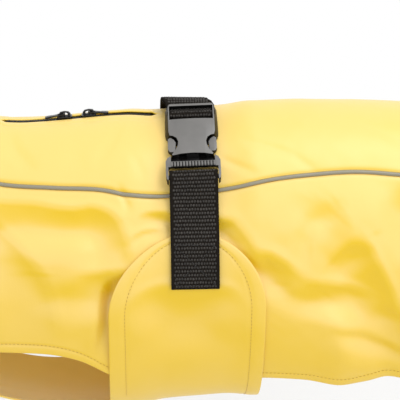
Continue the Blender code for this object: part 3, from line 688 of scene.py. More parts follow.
def back_panel():
    grids = []
    outer = read(SEAM, 1, COLUMNS) - PIPING_ACROSS / 2 - SEAM_GAP
    to_slit = np.minimum(np.abs(COLUMNS - ZIP_FROM), np.abs(COLUMNS - ZIP_TO))[:, None]
    beside_slit = zip_half(COLUMNS)[:, None] > 0
    for side in (1, -1):
        inner = side * zip_line(COLUMNS) + zip_half(COLUMNS)
        away = spread(outer - inner, 36)
        around = side * (inner[:, None] + away)
        along = end_shift(COLUMNS[:, None], away / away[:, -1:])
        slit = np.where(beside_slit, away, np.hypot(away, to_slit))
        hem = np.minimum(HEM_ENDS[:, None], slit)
        grids.append(facing_out(side, along, around, hem, away[:, -1:] - away))
    return dress(shell("back_panel_cloth", grids, CLOTH, base=slit_lips), "back_panel")


back_panel()

# ================================================================ side panels
# Two panels that hang from the back panel's seams. Each is hemmed at the neck, round the leg opening, along
# its lower edge and at the tail, and has most of the creases.
LOWER_EDGE = (
    # along  around
    (-225, 172), (-205, 191), (-188, 208), (-174, 220), (-155, 226), (-128, 227), (-105, 230), (-88, 240),
    (-72, 257), (-55, 271), (-30, 279), (10, 282), (80, 281), (150, 274), (220, 262), (280, 244),
    (320, 225), (350, 203), (368, 182), (380, 150),
)
LOWER_SHARE = 1.45
CHEST_SEAM_END = -186.0
CHEST_SEAM_FADE = 8.0
OUT_OF_REACH = 40.0  # added to a distance where the edge is of the other kind


def sewn_to_chest(columns):
    """1 where the lower edge is sewn to the chest strip and 0 where it is a free hem."""
    return smooth((CHEST_SEAM_END + CHEST_SEAM_FADE / 2 - columns)[:, None] / CHEST_SEAM_FADE)


def side_panel(side, name, node):
    top = read(SEAM, 1, COLUMNS) + PIPING_ACROSS / 2 + SEAM_GAP
    away = spread(read(LOWER_EDGE, 1, COLUMNS) - top, 86)
    share = away / away[:, -1:]
    around = side * (top[:, None] + away)
    along = end_shift(COLUMNS[:, None], 1.0 + (LOWER_SHARE - 1.0) * share)
    lower = away[:, -1:] - away
    sewn = sewn_to_chest(COLUMNS)
    hem = np.minimum(HEM_ENDS[:, None], lower + OUT_OF_REACH * sewn)
    seam = np.minimum(away, lower + OUT_OF_REACH * (1 - sewn))
    return dress(shell(name, [facing_out(side, along, around, hem, seam)], CLOTH), node)


left_side = side_panel(1, "left_side_cloth", "side_panel_left")
right_side = side_panel(-1, "right_side_cloth", "side_panel_right")

# ================================================================ chest and belly panel
# Chest strip, belly band and two rounded wings in one piece. The wings come up over the side panels, have a
# soft turned rim, and carry the two ends of the belt.
WING_CLEAR = 0.8
WING_STITCH = 12.0
WING_STITCH_TOP = 4.5
WING_PUFF = 0.3
WING_START = float(half_girth(0)) - WING_AROUND
WING_RISE = 60.0
CHEST_HALF = 64.0
CHEST_FADE = 14.0
CHEST_EDGE = (
    # along  half_width
    (-225, 89.5), (-205, 90.5), (-190, 85), (-178, 64), (-160, 50), (-135, 45), (-110, 46), (-90, 52),
    (-71, 64),
)


def belly_base(along, around):
    """Under the wings the piece lies outside the side panels, and at the neck edge to edge with them."""
    return (WALL + WING_CLEAR) * smooth((along - CHEST_SEAM_END) / WING_RISE)


def from_bottom(along, width):
    """Around, for a distance from the bottom centre line that is positive on the left."""
    reach = half_girth(along) - np.abs(width)
    return np.where(width >= 0, reach, -reach)


def chest_strip(band_edge, half_widths):
    columns = np.append(COLUMNS[COLUMNS < band_edge - 2], band_edge)
    along = end_shift(columns, LOWER_SHARE)
    sewn_half = half_girth(along) - read(LOWER_EDGE, 1, columns) - SEAM_GAP
    own_half = read(CHEST_EDGE, 1, columns)
    half = sewn_half + (own_half - sewn_half) * smooth((columns - CHEST_SEAM_END) / CHEST_FADE)
    width = half[:, None] * half_widths[None, :] / CHEST_HALF
    edge = half[:, None] - np.abs(width)
    sewn = sewn_to_chest(columns)
    hem = np.minimum((columns - NECK_EDGE)[:, None], edge + OUT_OF_REACH * sewn)
    along = along[:, None] + 0 * width
    return along, from_bottom(along, width), hem, edge + OUT_OF_REACH * (1 - sewn)


def rim_of_wing(offset, width, band_edge):
    """Distance to the nearest hem. Round the wing it is scaled, so that the line of stitches runs true."""
    stitched = np.array((WING_HALF - WING_STITCH, WING_TALL - WING_STITCH_TOP)) / (WING_HALF, WING_TALL)
    beyond = np.clip((width - WING_START) / WING_TALL, 0, 1)
    out = np.hypot(offset / WING_HALF, beyond)
    line = out / np.hypot(offset / WING_HALF / stitched[0], np.maximum(beyond / stitched[1], 1e-6))
    to_stitch = WING_STITCH * (1 - out) / (1 - line)
    rim = (1 - out) * (WING_HALF + WING_TALL) / 2
    rim = rim + (to_stitch - rim) * smooth((rim - HEM_ROUND) / 2)
    rim = np.minimum(np.where(beyond > 0, rim, WING_HALF - np.abs(offset)), NO_EDGE)
    front = np.hypot(WING_ALONG + offset - band_edge, np.clip(CHEST_HALF - width, 0, None))
    return np.clip(np.where((offset < 0) & (width < CHEST_HALF), front, rim), 0, None)


def belly_panel():
    band_edge = WING_ALONG - WING_HALF
    half_widths = CHEST_HALF - spread([CHEST_HALF * 2], 44)[0]
    half_widths = np.where(np.abs(half_widths) < 0.01, 0.0, half_widths)
    straight = half_widths[half_widths >= 0][::-1]
    further = np.linspace(CHEST_HALF, WING_START, 44)[1:]
    tip = 1 - spread([2 * WING_TALL], 52)[0] / WING_TALL
    tip = np.sort(tip[tip > 0.01])
    halves = np.concatenate([np.full(len(straight) + len(further), WING_HALF),
                             WING_HALF * np.sqrt(np.clip(1 - tip**2, 0, 1))])
    offset = halves[:, None] * (stretch(-WING_HALF, WING_HALF) / WING_HALF)[None, :]
    width = np.concatenate([straight, further, WING_START + WING_TALL * tip])[:, None] + 0 * offset
    along = WING_ALONG + offset
    rim = rim_of_wing(offset, width, band_edge)
    grids = [chest_strip(band_edge, half_widths)]
    for side in (1, -1):
        around = from_bottom(along, side * width)
        grids.append(facing_out(-side, along, around, rim, NO_EDGE + 0 * along))
    made = shell("belly_cloth", grids, CLOTH, base=belly_base, on_wing=True,
                 high=lambda hem, seam: outer_lift(hem, seam, WING_STITCH, WING_PUFF))
    return dress(made, "belly_panel")


belly_panel()

# ================================================================ hem and wing stitching
# Lockstitched thread a little darker than the cloth: along the hems, beside both edges of the lead slit, and
# in a line round the rim of each wing. Each stitch sinks into its groove.
STITCH_PITCH = 3.4
STITCH_SIZE = (2.7, 0.5, 0.5)
SLIT_STITCH = 3.0
ON_TOP = WALL + 0.02


def scatter_tree():
    """Small rounded bodies on points, turned to the points' `run` and `out` directions."""
    tree = bpy.data.node_groups.new("bodies_on_points", "GeometryNodeTree")
    sockets = {}
    for name, kind in (("Geometry", "Geometry"), ("Length", "Float"), ("Width", "Float"), ("Height", "Float"),
                       ("Squareness", "Float"), ("Unevenness", "Float"), ("Material", "Material")):
        socket = tree.interface.new_socket(name, in_out="INPUT", socket_type=f"NodeSocket{kind}")
        sockets[name] = socket.identifier
    tree.interface.new_socket("Geometry", in_out="OUTPUT", socket_type="NodeSocketGeometry")

    def add(kind, *wires, **values):
        return add_node(tree, kind, *wires, **values).outputs

    given = add("NodeGroupInput")
    cube = add("GeometryNodeMeshCube")
    body = add("GeometryNodeSubdivisionSurface", (cube["Mesh"], "Mesh"), (given["Squareness"], "Edge Crease"),
               Level=1)
    run = add("GeometryNodeInputNamedAttribute", data_type="FLOAT_VECTOR", Name="run")
    out = add("GeometryNodeInputNamedAttribute", data_type="FLOAT_VECTOR", Name="out")
    turned = add("FunctionNodeAxesToRotation", (out["Attribute"], "Primary Axis"),
                 (run["Attribute"], "Secondary Axis"), primary_axis="Z", secondary_axis="X")
    size = add("ShaderNodeCombineXYZ", (given["Length"], "X"), (given["Width"], "Y"), (given["Height"], "Z"))
    one = add("ShaderNodeValue")
    one[0].default_value = 1.0
    least = add("ShaderNodeMath", (one[0], 0), (given["Unevenness"], 1), operation="SUBTRACT")
    most = add("ShaderNodeMath", (one[0], 0), (given["Unevenness"], 1), operation="ADD")
    chance = add("FunctionNodeRandomValue", (least[0], 2), (most[0], 3), data_type="FLOAT", Seed=7)
    scale = add("ShaderNodeVectorMath", (size[0], 0), (chance[1], "Scale"), operation="SCALE")
    placed = add("GeometryNodeInstanceOnPoints", (given["Geometry"], "Points"), (body["Mesh"], "Instance"),
                 (turned["Rotation"], "Rotation"), (scale[0], "Scale"))
    real = add("GeometryNodeRealizeInstances", (placed["Instances"], "Geometry"))
    soft = add("GeometryNodeSetShadeSmooth", (real["Geometry"], "Geometry"))
    dressed = add("GeometryNodeSetMaterial", (soft["Geometry"], "Geometry"), (given["Material"], "Material"))
    add("NodeGroupOutput", (dressed["Geometry"], "Geometry"))
    return tree, sockets


SCATTER, SCATTER_SOCKETS = scatter_tree()


def applied(made):
    """The same object with its modifiers worked into its mesh."""
    plain = bpy.data.meshes.new_from_object(made.evaluated_get(bpy.context.evaluated_depsgraph_get()))
    made.modifiers.clear()
    made.data = plain
    return made


def bodies(name, rows, size, look, squareness=0.0, unevenness=0.0):
    """One mesh of small bodies. Each row holds points, run directions and out directions, in millimetres."""
    points, runs, outs = (np.concatenate([row[i] for row in rows]) for i in range(3))
    mesh = bpy.data.meshes.new(name)
    mesh.from_pydata((points * MM).tolist(), [], [])
    for attribute, values in (("run", runs), ("out", outs)):
        mesh.attributes.new(attribute, "FLOAT_VECTOR", "POINT").data.foreach_set("vector", values.ravel())
    seeds = put(name, mesh)
    change = seeds.modifiers.new("bodies", "NODES")
    change.node_group = SCATTER
    values = (*(length * MM for length in size), squareness, unevenness, look)
    for socket, value in zip(("Length", "Width", "Height", "Squareness", "Unevenness", "Material"), values):
        change[SCATTER_SOCKETS[socket]] = value
    return applied(seeds)


def at(places, lengths, rows):
    """Rows at places along a line, from rows at known lengths along it."""
    return np.stack([np.interp(places, lengths, column) for column in rows.T], axis=1)


def along_path(along, around, lift=ON_TOP, pitch=STITCH_PITCH, base=flush, on_wing=False):
    """Evenly spaced places on a path over the cloth, with their run and out directions."""
    along, around = np.stack(np.broadcast_arrays(along, around), axis=1).T
    surface, normal = worn(along, around, on_wing)
    points = surface + normal * (lift + base(along, around) + np.zeros(len(along)))[:, None]
    lengths = lengths_along(points)
    centres = np.arange(pitch / 2, lengths[-1], pitch)
    run = at(centres + pitch / 3, lengths, points) - at(centres - pitch / 3, lengths, points)
    return at(centres, lengths, points), run, at(centres, lengths, normal)


def thread_look(name, roughness, scale, dark, light, **settings):
    look = Look(name, roughness, **settings)
    twist = look.wave(look.object_place(), scale, 1.0)
    look.colour(twist, dark, light)
    look.relief((twist, 0.4, 0.0001))
    return look.made


THREAD = thread_look("hem_thread", 0.7, 420.0, (0.36, 0.21, 0.02), (0.62, 0.40, 0.05), Sheen_Weight=0.2)


def side_rows(side):
    """Hem rows of a side panel, along its lower edge and across its neck and tail ends."""
    run = np.arange(NECK_EDGE + HEM_STITCH, TAIL_EDGE - HEM_STITCH, 2.0)
    hemmed = run > CHEST_SEAM_END
    low = read(LOWER_EDGE, 1, run) - HEM_STITCH
    rows = [along_path(end_shift(run, LOWER_SHARE)[hemmed], side * low[hemmed])]
    for end in (run[0], run[-1]):
        span = read(LOWER_EDGE, 1, end) - HEM_STITCH
        start = read(SEAM, 1, end) + PIPING_ACROSS / 2 + SEAM_GAP
        reach = np.linspace(start + 1, span, 60)
        share = (reach - start) / (span + HEM_STITCH - start)
        rows.append(along_path(end_shift(end, 1 + (LOWER_SHARE - 1) * share), side * reach))
    return rows


def back_rows(side):
    """Hem rows of the back panel, across its neck and tail ends and beside the slit."""
    rows = []
    for end in (NECK_EDGE + HEM_STITCH, TAIL_EDGE - HEM_STITCH):
        reach = np.linspace(1, read(SEAM, 1, end) - 3, 50)
        rows.append(along_path(end_shift(end, reach / reach[-1]), side * reach))
    slit = np.arange(ZIP_FROM + 2, ZIP_TO - 1, 1.5)
    edge = zip_line(slit) + side * (zip_half(slit) + SLIT_STITCH)
    return rows + [along_path(slit, edge, ON_TOP + 0.02, base=slit_lips)]


def wing_rows(side):
    """Rows round the rim of a wing, along the band's rear edge and along the chest strip."""
    inset = WING_HALF - WING_STITCH
    straight = np.linspace(CHEST_HALF + WING_STITCH, WING_START, 60)
    turn = np.linspace(math.pi / 2, -math.pi / 2, 160)
    round_wing = np.concatenate([-inset + 0 * straight, -inset * np.sin(turn), inset + 0 * straight])
    tip = WING_START + (WING_TALL - WING_STITCH_TOP) * np.cos(turn)
    rear = np.linspace(0, straight[0], 40)
    column = np.arange(CHEST_SEAM_END + 14, -82, 2.0)
    lines = ((WING_ALONG + round_wing, np.concatenate([straight, tip, straight[::-1]])),
             (WING_ALONG + inset + 0 * rear, rear),
             (end_shift(column, LOWER_SHARE), read(CHEST_EDGE, 1, column) - HEM_STITCH))
    return [along_path(along, from_bottom(along, side * width), base=belly_base, on_wing=True)
            for along, width in lines]


hem_rows = side_rows(1) + back_rows(1) + side_rows(-1) + back_rows(-1)
dress(bodies("hem_stitches", hem_rows, STITCH_SIZE, THREAD))
dress(bodies("wing_stitches", wing_rows(1) + wing_rows(-1), STITCH_SIZE, THREAD))

# ================================================================ reflective piping
# Grey reflective tape folded over a thin cord, sewn into the seams on both sides of the back panel.
PIPING_HEIGHT = 2.8
PIPING_LIFT = 1.1
PIPING_SIDES = 16
PIPING_END = 0.55  # share of its size at a cut end, which it has in full after a short length
PIPING_END_LONG = 1.5
PIPING_UNEVEN = 0.05


def piping_look():
    look = Look("reflective_piping", 0.38, Sheen_Weight=0.5, Sheen_Roughness=0.35)
    turned = look.add("ShaderNodeMapping", (look.cut_place(), "Vector"), Rotation=(0, 0, 0.9))
    twill = look.wave(turned.outputs["Vector"], 260.0, 1.2)
    both = look.both(twill, look.noise(900.0, 2.0))
    look.colour(both, (0.165, 0.147, 0.105), (0.28, 0.26, 0.19), first=0.25)
    look.relief((both, 0.25, 0.00015))
    return look.made


def tube(name, rings, look, uv_pitch=2.0):
    """A closed tube through rings of points in millimetres."""
    count, sides = rings.shape[:2]
    ends = np.stack([rings[0].mean(axis=0), rings[-1].mean(axis=0)])
    points = np.concatenate([rings.reshape(-1, 3), ends])
    faces = []
    for i in range(count - 1):
        for k in range(sides):
            a, b = i * sides + k, i * sides + (k + 1) % sides
            faces.append((a, b, b + sides, a + sides))
    for ring, centre in ((0, count * sides), (count - 1, count * sides + 1)):
        faces += [(ring * sides + k, ring * sides + (k + 1) % sides, centre) for k in range(sides)]
    number = np.arange(len(points))
    cut = np.stack([number // sides * uv_pitch, number % sides * 0.6], axis=1)
    return closed_piece(name, points, faces, cut, look)


PIPING = piping_look()


def piping(side, name, node):
    column = np.arange(NECK_EDGE, TAIL_EDGE + 0.1, 2.0)
    turn = 2 * math.pi * np.arange(PIPING_SIDES) / PIPING_SIDES
    slack = 1 + PIPING_UNEVEN * ripple(column, 0 * column, 9, 21)
    to_end = np.minimum(column - NECK_EDGE, TAIL_EDGE - column)
    size = (slack * np.minimum(1.0, PIPING_END + (1 - PIPING_END) * to_end / PIPING_END_LONG))[:, None]
    around = read(SEAM, 1, column)[:, None] + PIPING_ACROSS / 2 * size * np.cos(turn)
    lift = PIPING_LIFT + PIPING_HEIGHT / 2 * size * np.sin(turn)
    rings = cloth(end_shift(column, 1.0)[:, None], side * around, lift)
    dress(tube(name, rings, PIPING), node)


piping(1, "left_piping_cord", "piping_left")
piping(-1, "right_piping_cord", "piping_right")

# ================================================================ zip
# Coil zip over the lead opening, sewn under the back panel, with two black enamelled sliders back to back.
# The coil's loops reach over the middle from both tapes in turn.
COIL_PITCH = 1.3
COIL_SIZE = (3.4, 1.15, 1.7)
ZIP_STITCH_SIZE = (2.3, 0.45, 0.5)
ZIP_STITCH_OFF = 10.5
ZIP_TAPE_HALF = 14.0
ZIP_TAPE_BEYOND = 6.0
ZIP_TAPE_LOW = -1.7
ZIP_TAPE_THICK = 1.0


def zip_cloth_look():
    look = Look("zip_cloth", 0.7, Specular_IOR_Level=0.2)
    flat = look.cut_place()
    both = look.both(look.wave(flat, 400.0, 0.4, "Y"), look.wave(flat, 520.0, 0.4), "MULTIPLY")
    look.colour(both, (0.006, 0.006, 0.006), (0.03, 0.029, 0.028))
    look.relief((both, 0.5, 0.0002))
    return look.made


def coil_look():
    look = Look("zip_coil", 0.3, Specular_IOR_Level=0.3)
    scuffs = look.noise(300.0, 3.0)
    look.colour(scuffs, (0.003, 0.003, 0.003), (0.016, 0.015, 0.015))
    look.wire(look.ranged(scuffs, 0.22, 0.42), "Roughness")
    return look.made


def zip_tapes():
    column = stretch(ZIP_FROM - ZIP_TAPE_BEYOND, ZIP_TO + ZIP_TAPE_BEYOND, 2.0)
    across = spread([2 * ZIP_TAPE_HALF], 9) - ZIP_TAPE_HALF
    along = column[:, None] + 0 * across
    around = zip_line(column)[:, None] + across
    to_end = np.minimum(column - column[0], column[-1] - column)[:, None]
    edge = np.minimum(ZIP_TAPE_HALF - np.abs(across), to_end)
    made = shell("zip_tapes", [[along, around, edge, NO_EDGE + 0 * along]], zip_cloth_look(),
                 base=lambda along, around: ZIP_TAPE_LOW,
                 low=lambda hem, seam: ZIP_TAPE_THICK / 2 * (1 - np.clip(0.3 + hem, 0, 1)),
                 high=lambda hem, seam: ZIP_TAPE_THICK / 2 * (1 + np.clip(0.3 + hem, 0, 1)))
    dress(made, "zip_strip")


def zip_coil():
    loops = []
    for side, start in ((1, 0.0), (-1, COIL_PITCH / 2)):
        place = np.arange(ZIP_FROM + ZIP_TAPER + 1 + start, ZIP_TO - ZIP_TAPER - 1, COIL_PITCH)
        around = zip_line(place) + side * 1.0
        surface, normal = worn(place, around)
        across = cloth(place, around + 0.5, 0) - cloth(place, around - 0.5, 0)
        loops.append((surface + normal * 0.5, across, normal))
    dress(bodies("zip_coil", loops, COIL_SIZE, coil_look(), squareness=0.25))
    run = np.arange(ZIP_FROM - ZIP_TAPE_BEYOND, ZIP_TO + ZIP_TAPE_BEYOND, 1.5)
    rows = [along_path(run, zip_line(run) + side * ZIP_STITCH_OFF, -0.02 - WALL, pitch=3.0)
            for side in (1, -1)]
    dress(bodies("zip_stitches", rows, ZIP_STITCH_SIZE, THREAD))


zip_tapes()
zip_coil()


def enamel_look():
    look = Look("black_enamel", 0.14, Specular_IOR_Level=0.3, Coat_Weight=0.12, Coat_Roughness=0.05)
    wear = look.noise(380.0, 4.0)
    look.colour(wear, (0.002, 0.002, 0.0025), (0.012, 0.012, 0.012), 0.35, 0.75)
    look.relief((wear, 0.12, 0.0001))
    return look.made


def rounded_copy(node, name, look, width, segments=2, change=None):
    """A copy of a solid after a change of form, its edges rounded as moulding or casting leaves them."""
    mesh = nodes[node].data.copy()
    bm = bmesh.new()
    bm.from_mesh(mesh)
    bmesh.ops.remove_doubles(bm, verts=bm.verts[:], dist=1e-6)
    bmesh.ops.dissolve_limit(bm, angle_limit=math.radians(1.0), verts=bm.verts[:], edges=bm.edges[:])
    if change:
        change(bm)
    bm.to_mesh(mesh)
    bm.free()
    mesh.materials.clear()
    mesh.materials.append(look)
    copy = put(name, mesh)
    round_edges = copy.modifiers.new("rounded", "BEVEL")
    round_edges.width = width * MM
    round_edges.segments = segments
    round_edges.limit_method = "ANGLE"
    round_edges.angle_limit = math.radians(32)
    round_edges.harden_normals = False
    applied(copy)
    copy.data.shade_smooth()
    copy.data.set_sharp_from_angle(angle=math.radians(50))
    return copy


ENAMEL = enamel_look()
for node, body, width in (("slider_front", "garment", 0.35), ("slider_rear", "garment", 0.35),
                          ("pull_front", "front_pull", 0.25), ("pull_rear", "rear_pull", 0.25)):
    dress(rounded_copy(node, f"{node}_enamelled", ENAMEL, width), node, body)

# ================================================================ belt and strap
# Heavy 40 mm webbing woven in rows of knots between plain edges. The belt runs from the right wing over the
# back, round the buckle's bar and under itself. The strap is a loop round the plug's bar, sewn to the wing
# with a crossed box of stitches.
WEBBING = 40.0
WEBBING_THICK = 1.4
STRAP_END = 174.0
BUCKLE_LONG = 75.5
BUCKLE_AROUND = 54.5
BUCKLE_LIFT = 0.8
RIGHT_BELT = (
    # around  lift
    (-STRAP_END, 5.2), (-160, 5.1), (-146, 5.1), (-134, 5.0), (-124, 4.2), (-112, 3.6), (-97, 3.6),
    (-84, 3.4), (-70, 3.2), (-56, 3.4), (-42, 4.8), (-28, 6.2), (-16, 8.0),
)
TAIL_BELT = ((-16, 5.8), (-28, 3.8), (-42, 2.8), (-50, 2.7))
LEFT_STRAP = ((100, 7.0), (112, 4.4), (122, 4.6), (134, 5.1), (146, 5.2), (160, 5.2), (STRAP_END, 5.2))
# The outer layer's end is turned down over the cut end of the layer below it.
STRAP_TURN = ((STRAP_END + 1.0, 6.7), (STRAP_END + 1.5, 5.6), (STRAP_END + 1.1, 4.5))
UNDER_LAYER_SHORTER = 1.4
LAYER_STEP = 1.9
BELT_SHIFT = 4.4
BELT_SHIFT_OVER = 9.0
BELT_LEVEL = 0.07
BELT_LEVEL_TO = 45.0
BELT_LEVEL_OVER = 30.0
BUCKLE_BAR = np.array((0, 8.6, 5.0))
PLUG_BAR = np.array((0, 71.0, 4.9))
BAR_RADIUS = 1.9
BELT_ENTRY = 3.9
WRAP_RADIUS = BAR_RADIUS + SEAM_GAP + WEBBING_THICK / 2 + 0.1
STRAP_SLACK = 2.7


def unit(vector):
    return vector / np.linalg.norm(vector, axis=-1, keepdims=True)


def belt_across(around):
    down = form(0, around + 1) - form(0, around - 1)
    return unit(np.cross(outward(0, around), down))


BUCKLE_OUT = outward(0, BUCKLE_AROUND)
BUCKLE_ACROSS = belt_across(BUCKLE_AROUND)
BUCKLE_UP = np.cross(BUCKLE_OUT, BUCKLE_ACROSS)


def under_belt(around, lift):
    """A place on the bare form with its hang and the belt's sink, without folds and creases."""
    return form(0.0, around) + outward(0.0, around) * (lift + hang(0.0, around) - sunk_by_belt(0.0))


BUCKLE_MIDDLE = under_belt(BUCKLE_AROUND, WALL + BUCKLE_LIFT)


def on_buckle(place):
    """World place of a point given across the buckle, down from its upper bar and out from its underside."""
    across, down, out = place
    return BUCKLE_MIDDLE + BUCKLE_ACROSS * across + BUCKLE_UP * (BUCKLE_LONG / 2 - down) + BUCKLE_OUT * out


def webbing_on_buckle(place):
    return np.concatenate([on_buckle(place), BUCKLE_ACROSS])


def wrap(centre, from_turn, to_turn, steps=15, slack=0.0):
    rows = []
    for turn in np.radians(np.linspace(from_turn, to_turn, steps)):
        reach = WRAP_RADIUS + slack * max(0, -math.cos(turn))
        rows.append(webbing_on_buckle(centre + reach * np.array((0, math.cos(turn), math.sin(turn)))))
    return np.array(rows)


def on_belt(table, raised=0.0):
    """Middle and direction of webbing over the cloth."""
    return np.array([np.concatenate([under_belt(around, lift + raised), belt_across(around)])
                     for around, lift in table])


def set_off(rows):
    """Over the back the belt has slipped toward the neck, and its neck side stands a little higher."""
    rows = rows.copy()
    off_buckle = smooth((rows[:, 1] - on_buckle((0, -1, 0))[1]) / BELT_SHIFT_OVER)
    rows[:, 0] -= BELT_SHIFT * off_buckle
    rows[:, 5] -= BELT_LEVEL * off_buckle * smooth((BELT_LEVEL_TO - rows[:, 1]) / BELT_LEVEL_OVER)
    return rows


def belt_line():
    approach = [webbing_on_buckle((0, down, BELT_ENTRY)) for down in (-2, 2.4)]
    leaving = [webbing_on_buckle((0, down, BELT_ENTRY - LAYER_STEP)) for down in (2.4, -2)]
    first = soft_path(np.vstack([on_belt(RIGHT_BELT), approach]), 6)
    last = soft_path(np.vstack([leaving, on_belt(TAIL_BELT)]), 6)
    return np.vstack([set_off(first), wrap(BUCKLE_BAR, 128, -90), set_off(last)])


def strap_line():
    under = on_belt(LEFT_STRAP[:-1] + ((STRAP_END - UNDER_LAYER_SHORTER, 5.2),))
    over = np.vstack([on_belt(LEFT_STRAP, raised=LAYER_STEP), on_belt(STRAP_TURN)])
    first = soft_path(under[::-1], 6)
    return np.vstack([first, wrap(PLUG_BAR, -117, -309, 19, STRAP_SLACK), soft_path(over, 6)])


def even(line, step=1.2):
    """The same line with evenly spaced rows, and the place of each along it."""
    lengths = lengths_along(line[:, :3])
    places = np.linspace(0, lengths[-1], max(2, round(lengths[-1] / step)) + 1)
    return places, at(places, lengths, line)


# The ground weave is darker than the knots: black yarn, with painted shade in the gaps between the knots.
def webbing_look():
    look = Look("black_webbing", 0.85, Specular_IOR_Level=0.06)
    flat = look.cut_place()
    both = look.both(look.wave(flat, 600.0, 2.0, "Y"), look.wave(flat, 300.0, 1.0))
    look.colour(both, (0.0015, 0.0013, 0.001), (0.016, 0.013, 0.010))
    look.relief((both, 0.6, 0.0003))
    return look.made


def knot_look():
    look = Look("webbing_knots", 0.65, Specular_IOR_Level=0.35)
    fibre = look.noise(700.0, 2.0)
    look.colour(fibre, (0.012, 0.0105, 0.009), (0.06, 0.053, 0.046), 0.3, 0.75)
    look.relief((fibre, 0.5, 0.0002))
    return look.made


WEBBING_LOOK = webbing_look()
KNOTS = knot_look()
KNOT_ROW = 3.2
KNOT_ACROSS = 2.3
KNOT_SIZE = (2.6, 2.35, 1.0)
KNOT_LEAN = 0.28
KNOT_SUNK = 0.2
KNOT_UNEVEN_ACROSS = 0.12
KNOT_UNEVEN_ALONG = 0.16
KNOT_UNEVEN_HEIGHT = 0.04
CORE_THICK = 1.1
EDGE_BULGE = 0.12
EDGE_UNEVEN = 0.006


def ribbon(name, line):
    """Flat webbing along a line, with rounded edges that bulge a little, and the strip that it follows."""
    places, rows = even(line)
    middle = rows[:, :3]
    across = unit(rows[:, 3:])
    out = unit(np.cross(np.gradient(middle, axis=0), across))
    half = WEBBING / 2
    flank = [(-half, 0), (-half + 0.12, 0.36), (-half + 0.5, 0.6), (-half + 1.4, 0.66), (-half + 2.4, 0.56)]
    flank += [(offset, CORE_THICK / 2) for offset in np.linspace(-half + 4, 0, 6)]
    top = np.array(flank + [(-x, z) for x, z in reversed(flank[:-1])])
    off, height = np.concatenate([top, (top * (1, -1))[-2:0:-1]]).T
    wave = EDGE_BULGE * np.sin(2 * math.pi * places / KNOT_ROW)[:, None]
    swell = 1 + EDGE_UNEVEN * ripple(places, 0 * places, 14, 5)[:, None]
    sideways = off * swell + np.sign(off) * wave * (np.abs(off) > half - 2)
    rings = middle[:, None] + across[:, None] * sideways[..., None]
    rings = rings + out[:, None] * height[None, :, None]
    return tube(name, rings, WEBBING_LOOK, uv_pitch=1.2), (places, middle, across, out)


def on_strip(strip, where):
    """Middle, sideways, outward and lengthwise directions at places along a strip of webbing."""
    places, middle, across, out = strip
    down = unit(at(where + 0.5, places, middle) - at(where - 0.5, places, middle))
    return at(where, places, middle), at(where, places, across), at(where, places, out), down


def knots(name, strip, first, last, flat_from=math.inf):
    """Rows of knots on the outer face between two places along the webbing, every other row set off."""
    picked = []
    count = int((WEBBING - 4) / KNOT_ACROSS)
    chance = np.random.default_rng(11)
    for number, centre in enumerate(np.arange(first, last, KNOT_ROW)):
        turn = (-1) ** number
        offset = (np.arange(count) - (count - 1) / 2 + 0.25 * turn) * KNOT_ACROSS
        offset = offset + chance.uniform(-KNOT_UNEVEN_ACROSS, KNOT_UNEVEN_ACROSS, count)
        where = centre + chance.uniform(-KNOT_UNEVEN_ALONG, KNOT_UNEVEN_ALONG, count)
        sunk = KNOT_SUNK if centre > flat_from else 0.0
        middle, side, up, down = on_strip(strip, where)
        lift = CORE_THICK / 2 + 0.02 - sunk + chance.uniform(-KNOT_UNEVEN_HEIGHT, KNOT_UNEVEN_HEIGHT, count)
        run = down + side * KNOT_LEAN * turn
        picked.append((middle + side * offset[:, None] + up * lift[:, None], run, up))
    return dress(bodies(name, picked, KNOT_SIZE, KNOTS, squareness=0.15, unevenness=0.07))


BOX_THREAD = thread_look("black_thread", 0.5, 500.0, (0.004, 0.003, 0.003), (0.022, 0.019, 0.017),
                         Specular_IOR_Level=0.5)
BOX_HALF = 16.5
BOX_LONG = 36.0
BOX_FROM_END = 2.5
BOX_STITCH = 3.1
BOX_STITCH_SIZE = (2.9, 0.9, 0.7)
BOX_STITCH_UP = 0.42
STRAP_TURN_LONG = 3.6


def crossed_box(name, strip, first, last):
    """Two layers of webbing sewn down with a box of stitches and its two diagonals."""
    corners = ((first, -BOX_HALF), (first, BOX_HALF), (last, BOX_HALF), (last, -BOX_HALF))
    picked = []
    for start, end in ((0, 1), (1, 2), (2, 3), (3, 0), (0, 2), (1, 3)):
        (from_place, from_side), (to_place, to_side) = corners[start], corners[end]
        count = int(math.hypot(to_place - from_place, to_side - from_side) / BOX_STITCH)
        share = (np.arange(count) + 0.5) / count
        offset = from_side + (to_side - from_side) * share
        middle, side, up, down = on_strip(strip, from_place + (to_place - from_place) * share)
        run = down * (to_place - from_place) + side * (to_side - from_side)
        picked.append((middle + side * offset[:, None] + up * (CORE_THICK / 2 + BOX_STITCH_UP), run, up))
    return dress(bodies(name, picked, BOX_STITCH_SIZE, BOX_THREAD))


def nearest_place(strip, point):
    places, middle = strip[:2]
    return places[np.argmin(np.linalg.norm(middle - on_buckle(point), axis=1))]


def belt():
    made, strip = ribbon("belt_webbing", belt_line())
    dress(made, "belt_over_back")
    bar_turn = nearest_place(strip, BUCKLE_BAR + (0, WRAP_RADIUS, 0))
    row_knots = knots("belt_knots", strip, 1.6, bar_turn + 2)
    box = crossed_box("belt_stitches", strip, BOX_FROM_END, BOX_LONG)


def strap():
    made, strip = ribbon("strap_webbing", strap_line())
    dress(made, "left_strap")
    bar_turn = nearest_place(strip, PLUG_BAR + (0, 0, WRAP_RADIUS))
    end = strip[0][-1] - STRAP_TURN_LONG
    row_knots = knots("strap_knots", strip, bar_turn - 4, end - 1.0, flat_from=end - BOX_LONG)
    box = crossed_box("strap_stitches", strip, end - BOX_LONG, end - BOX_FROM_END)


belt()
strap()

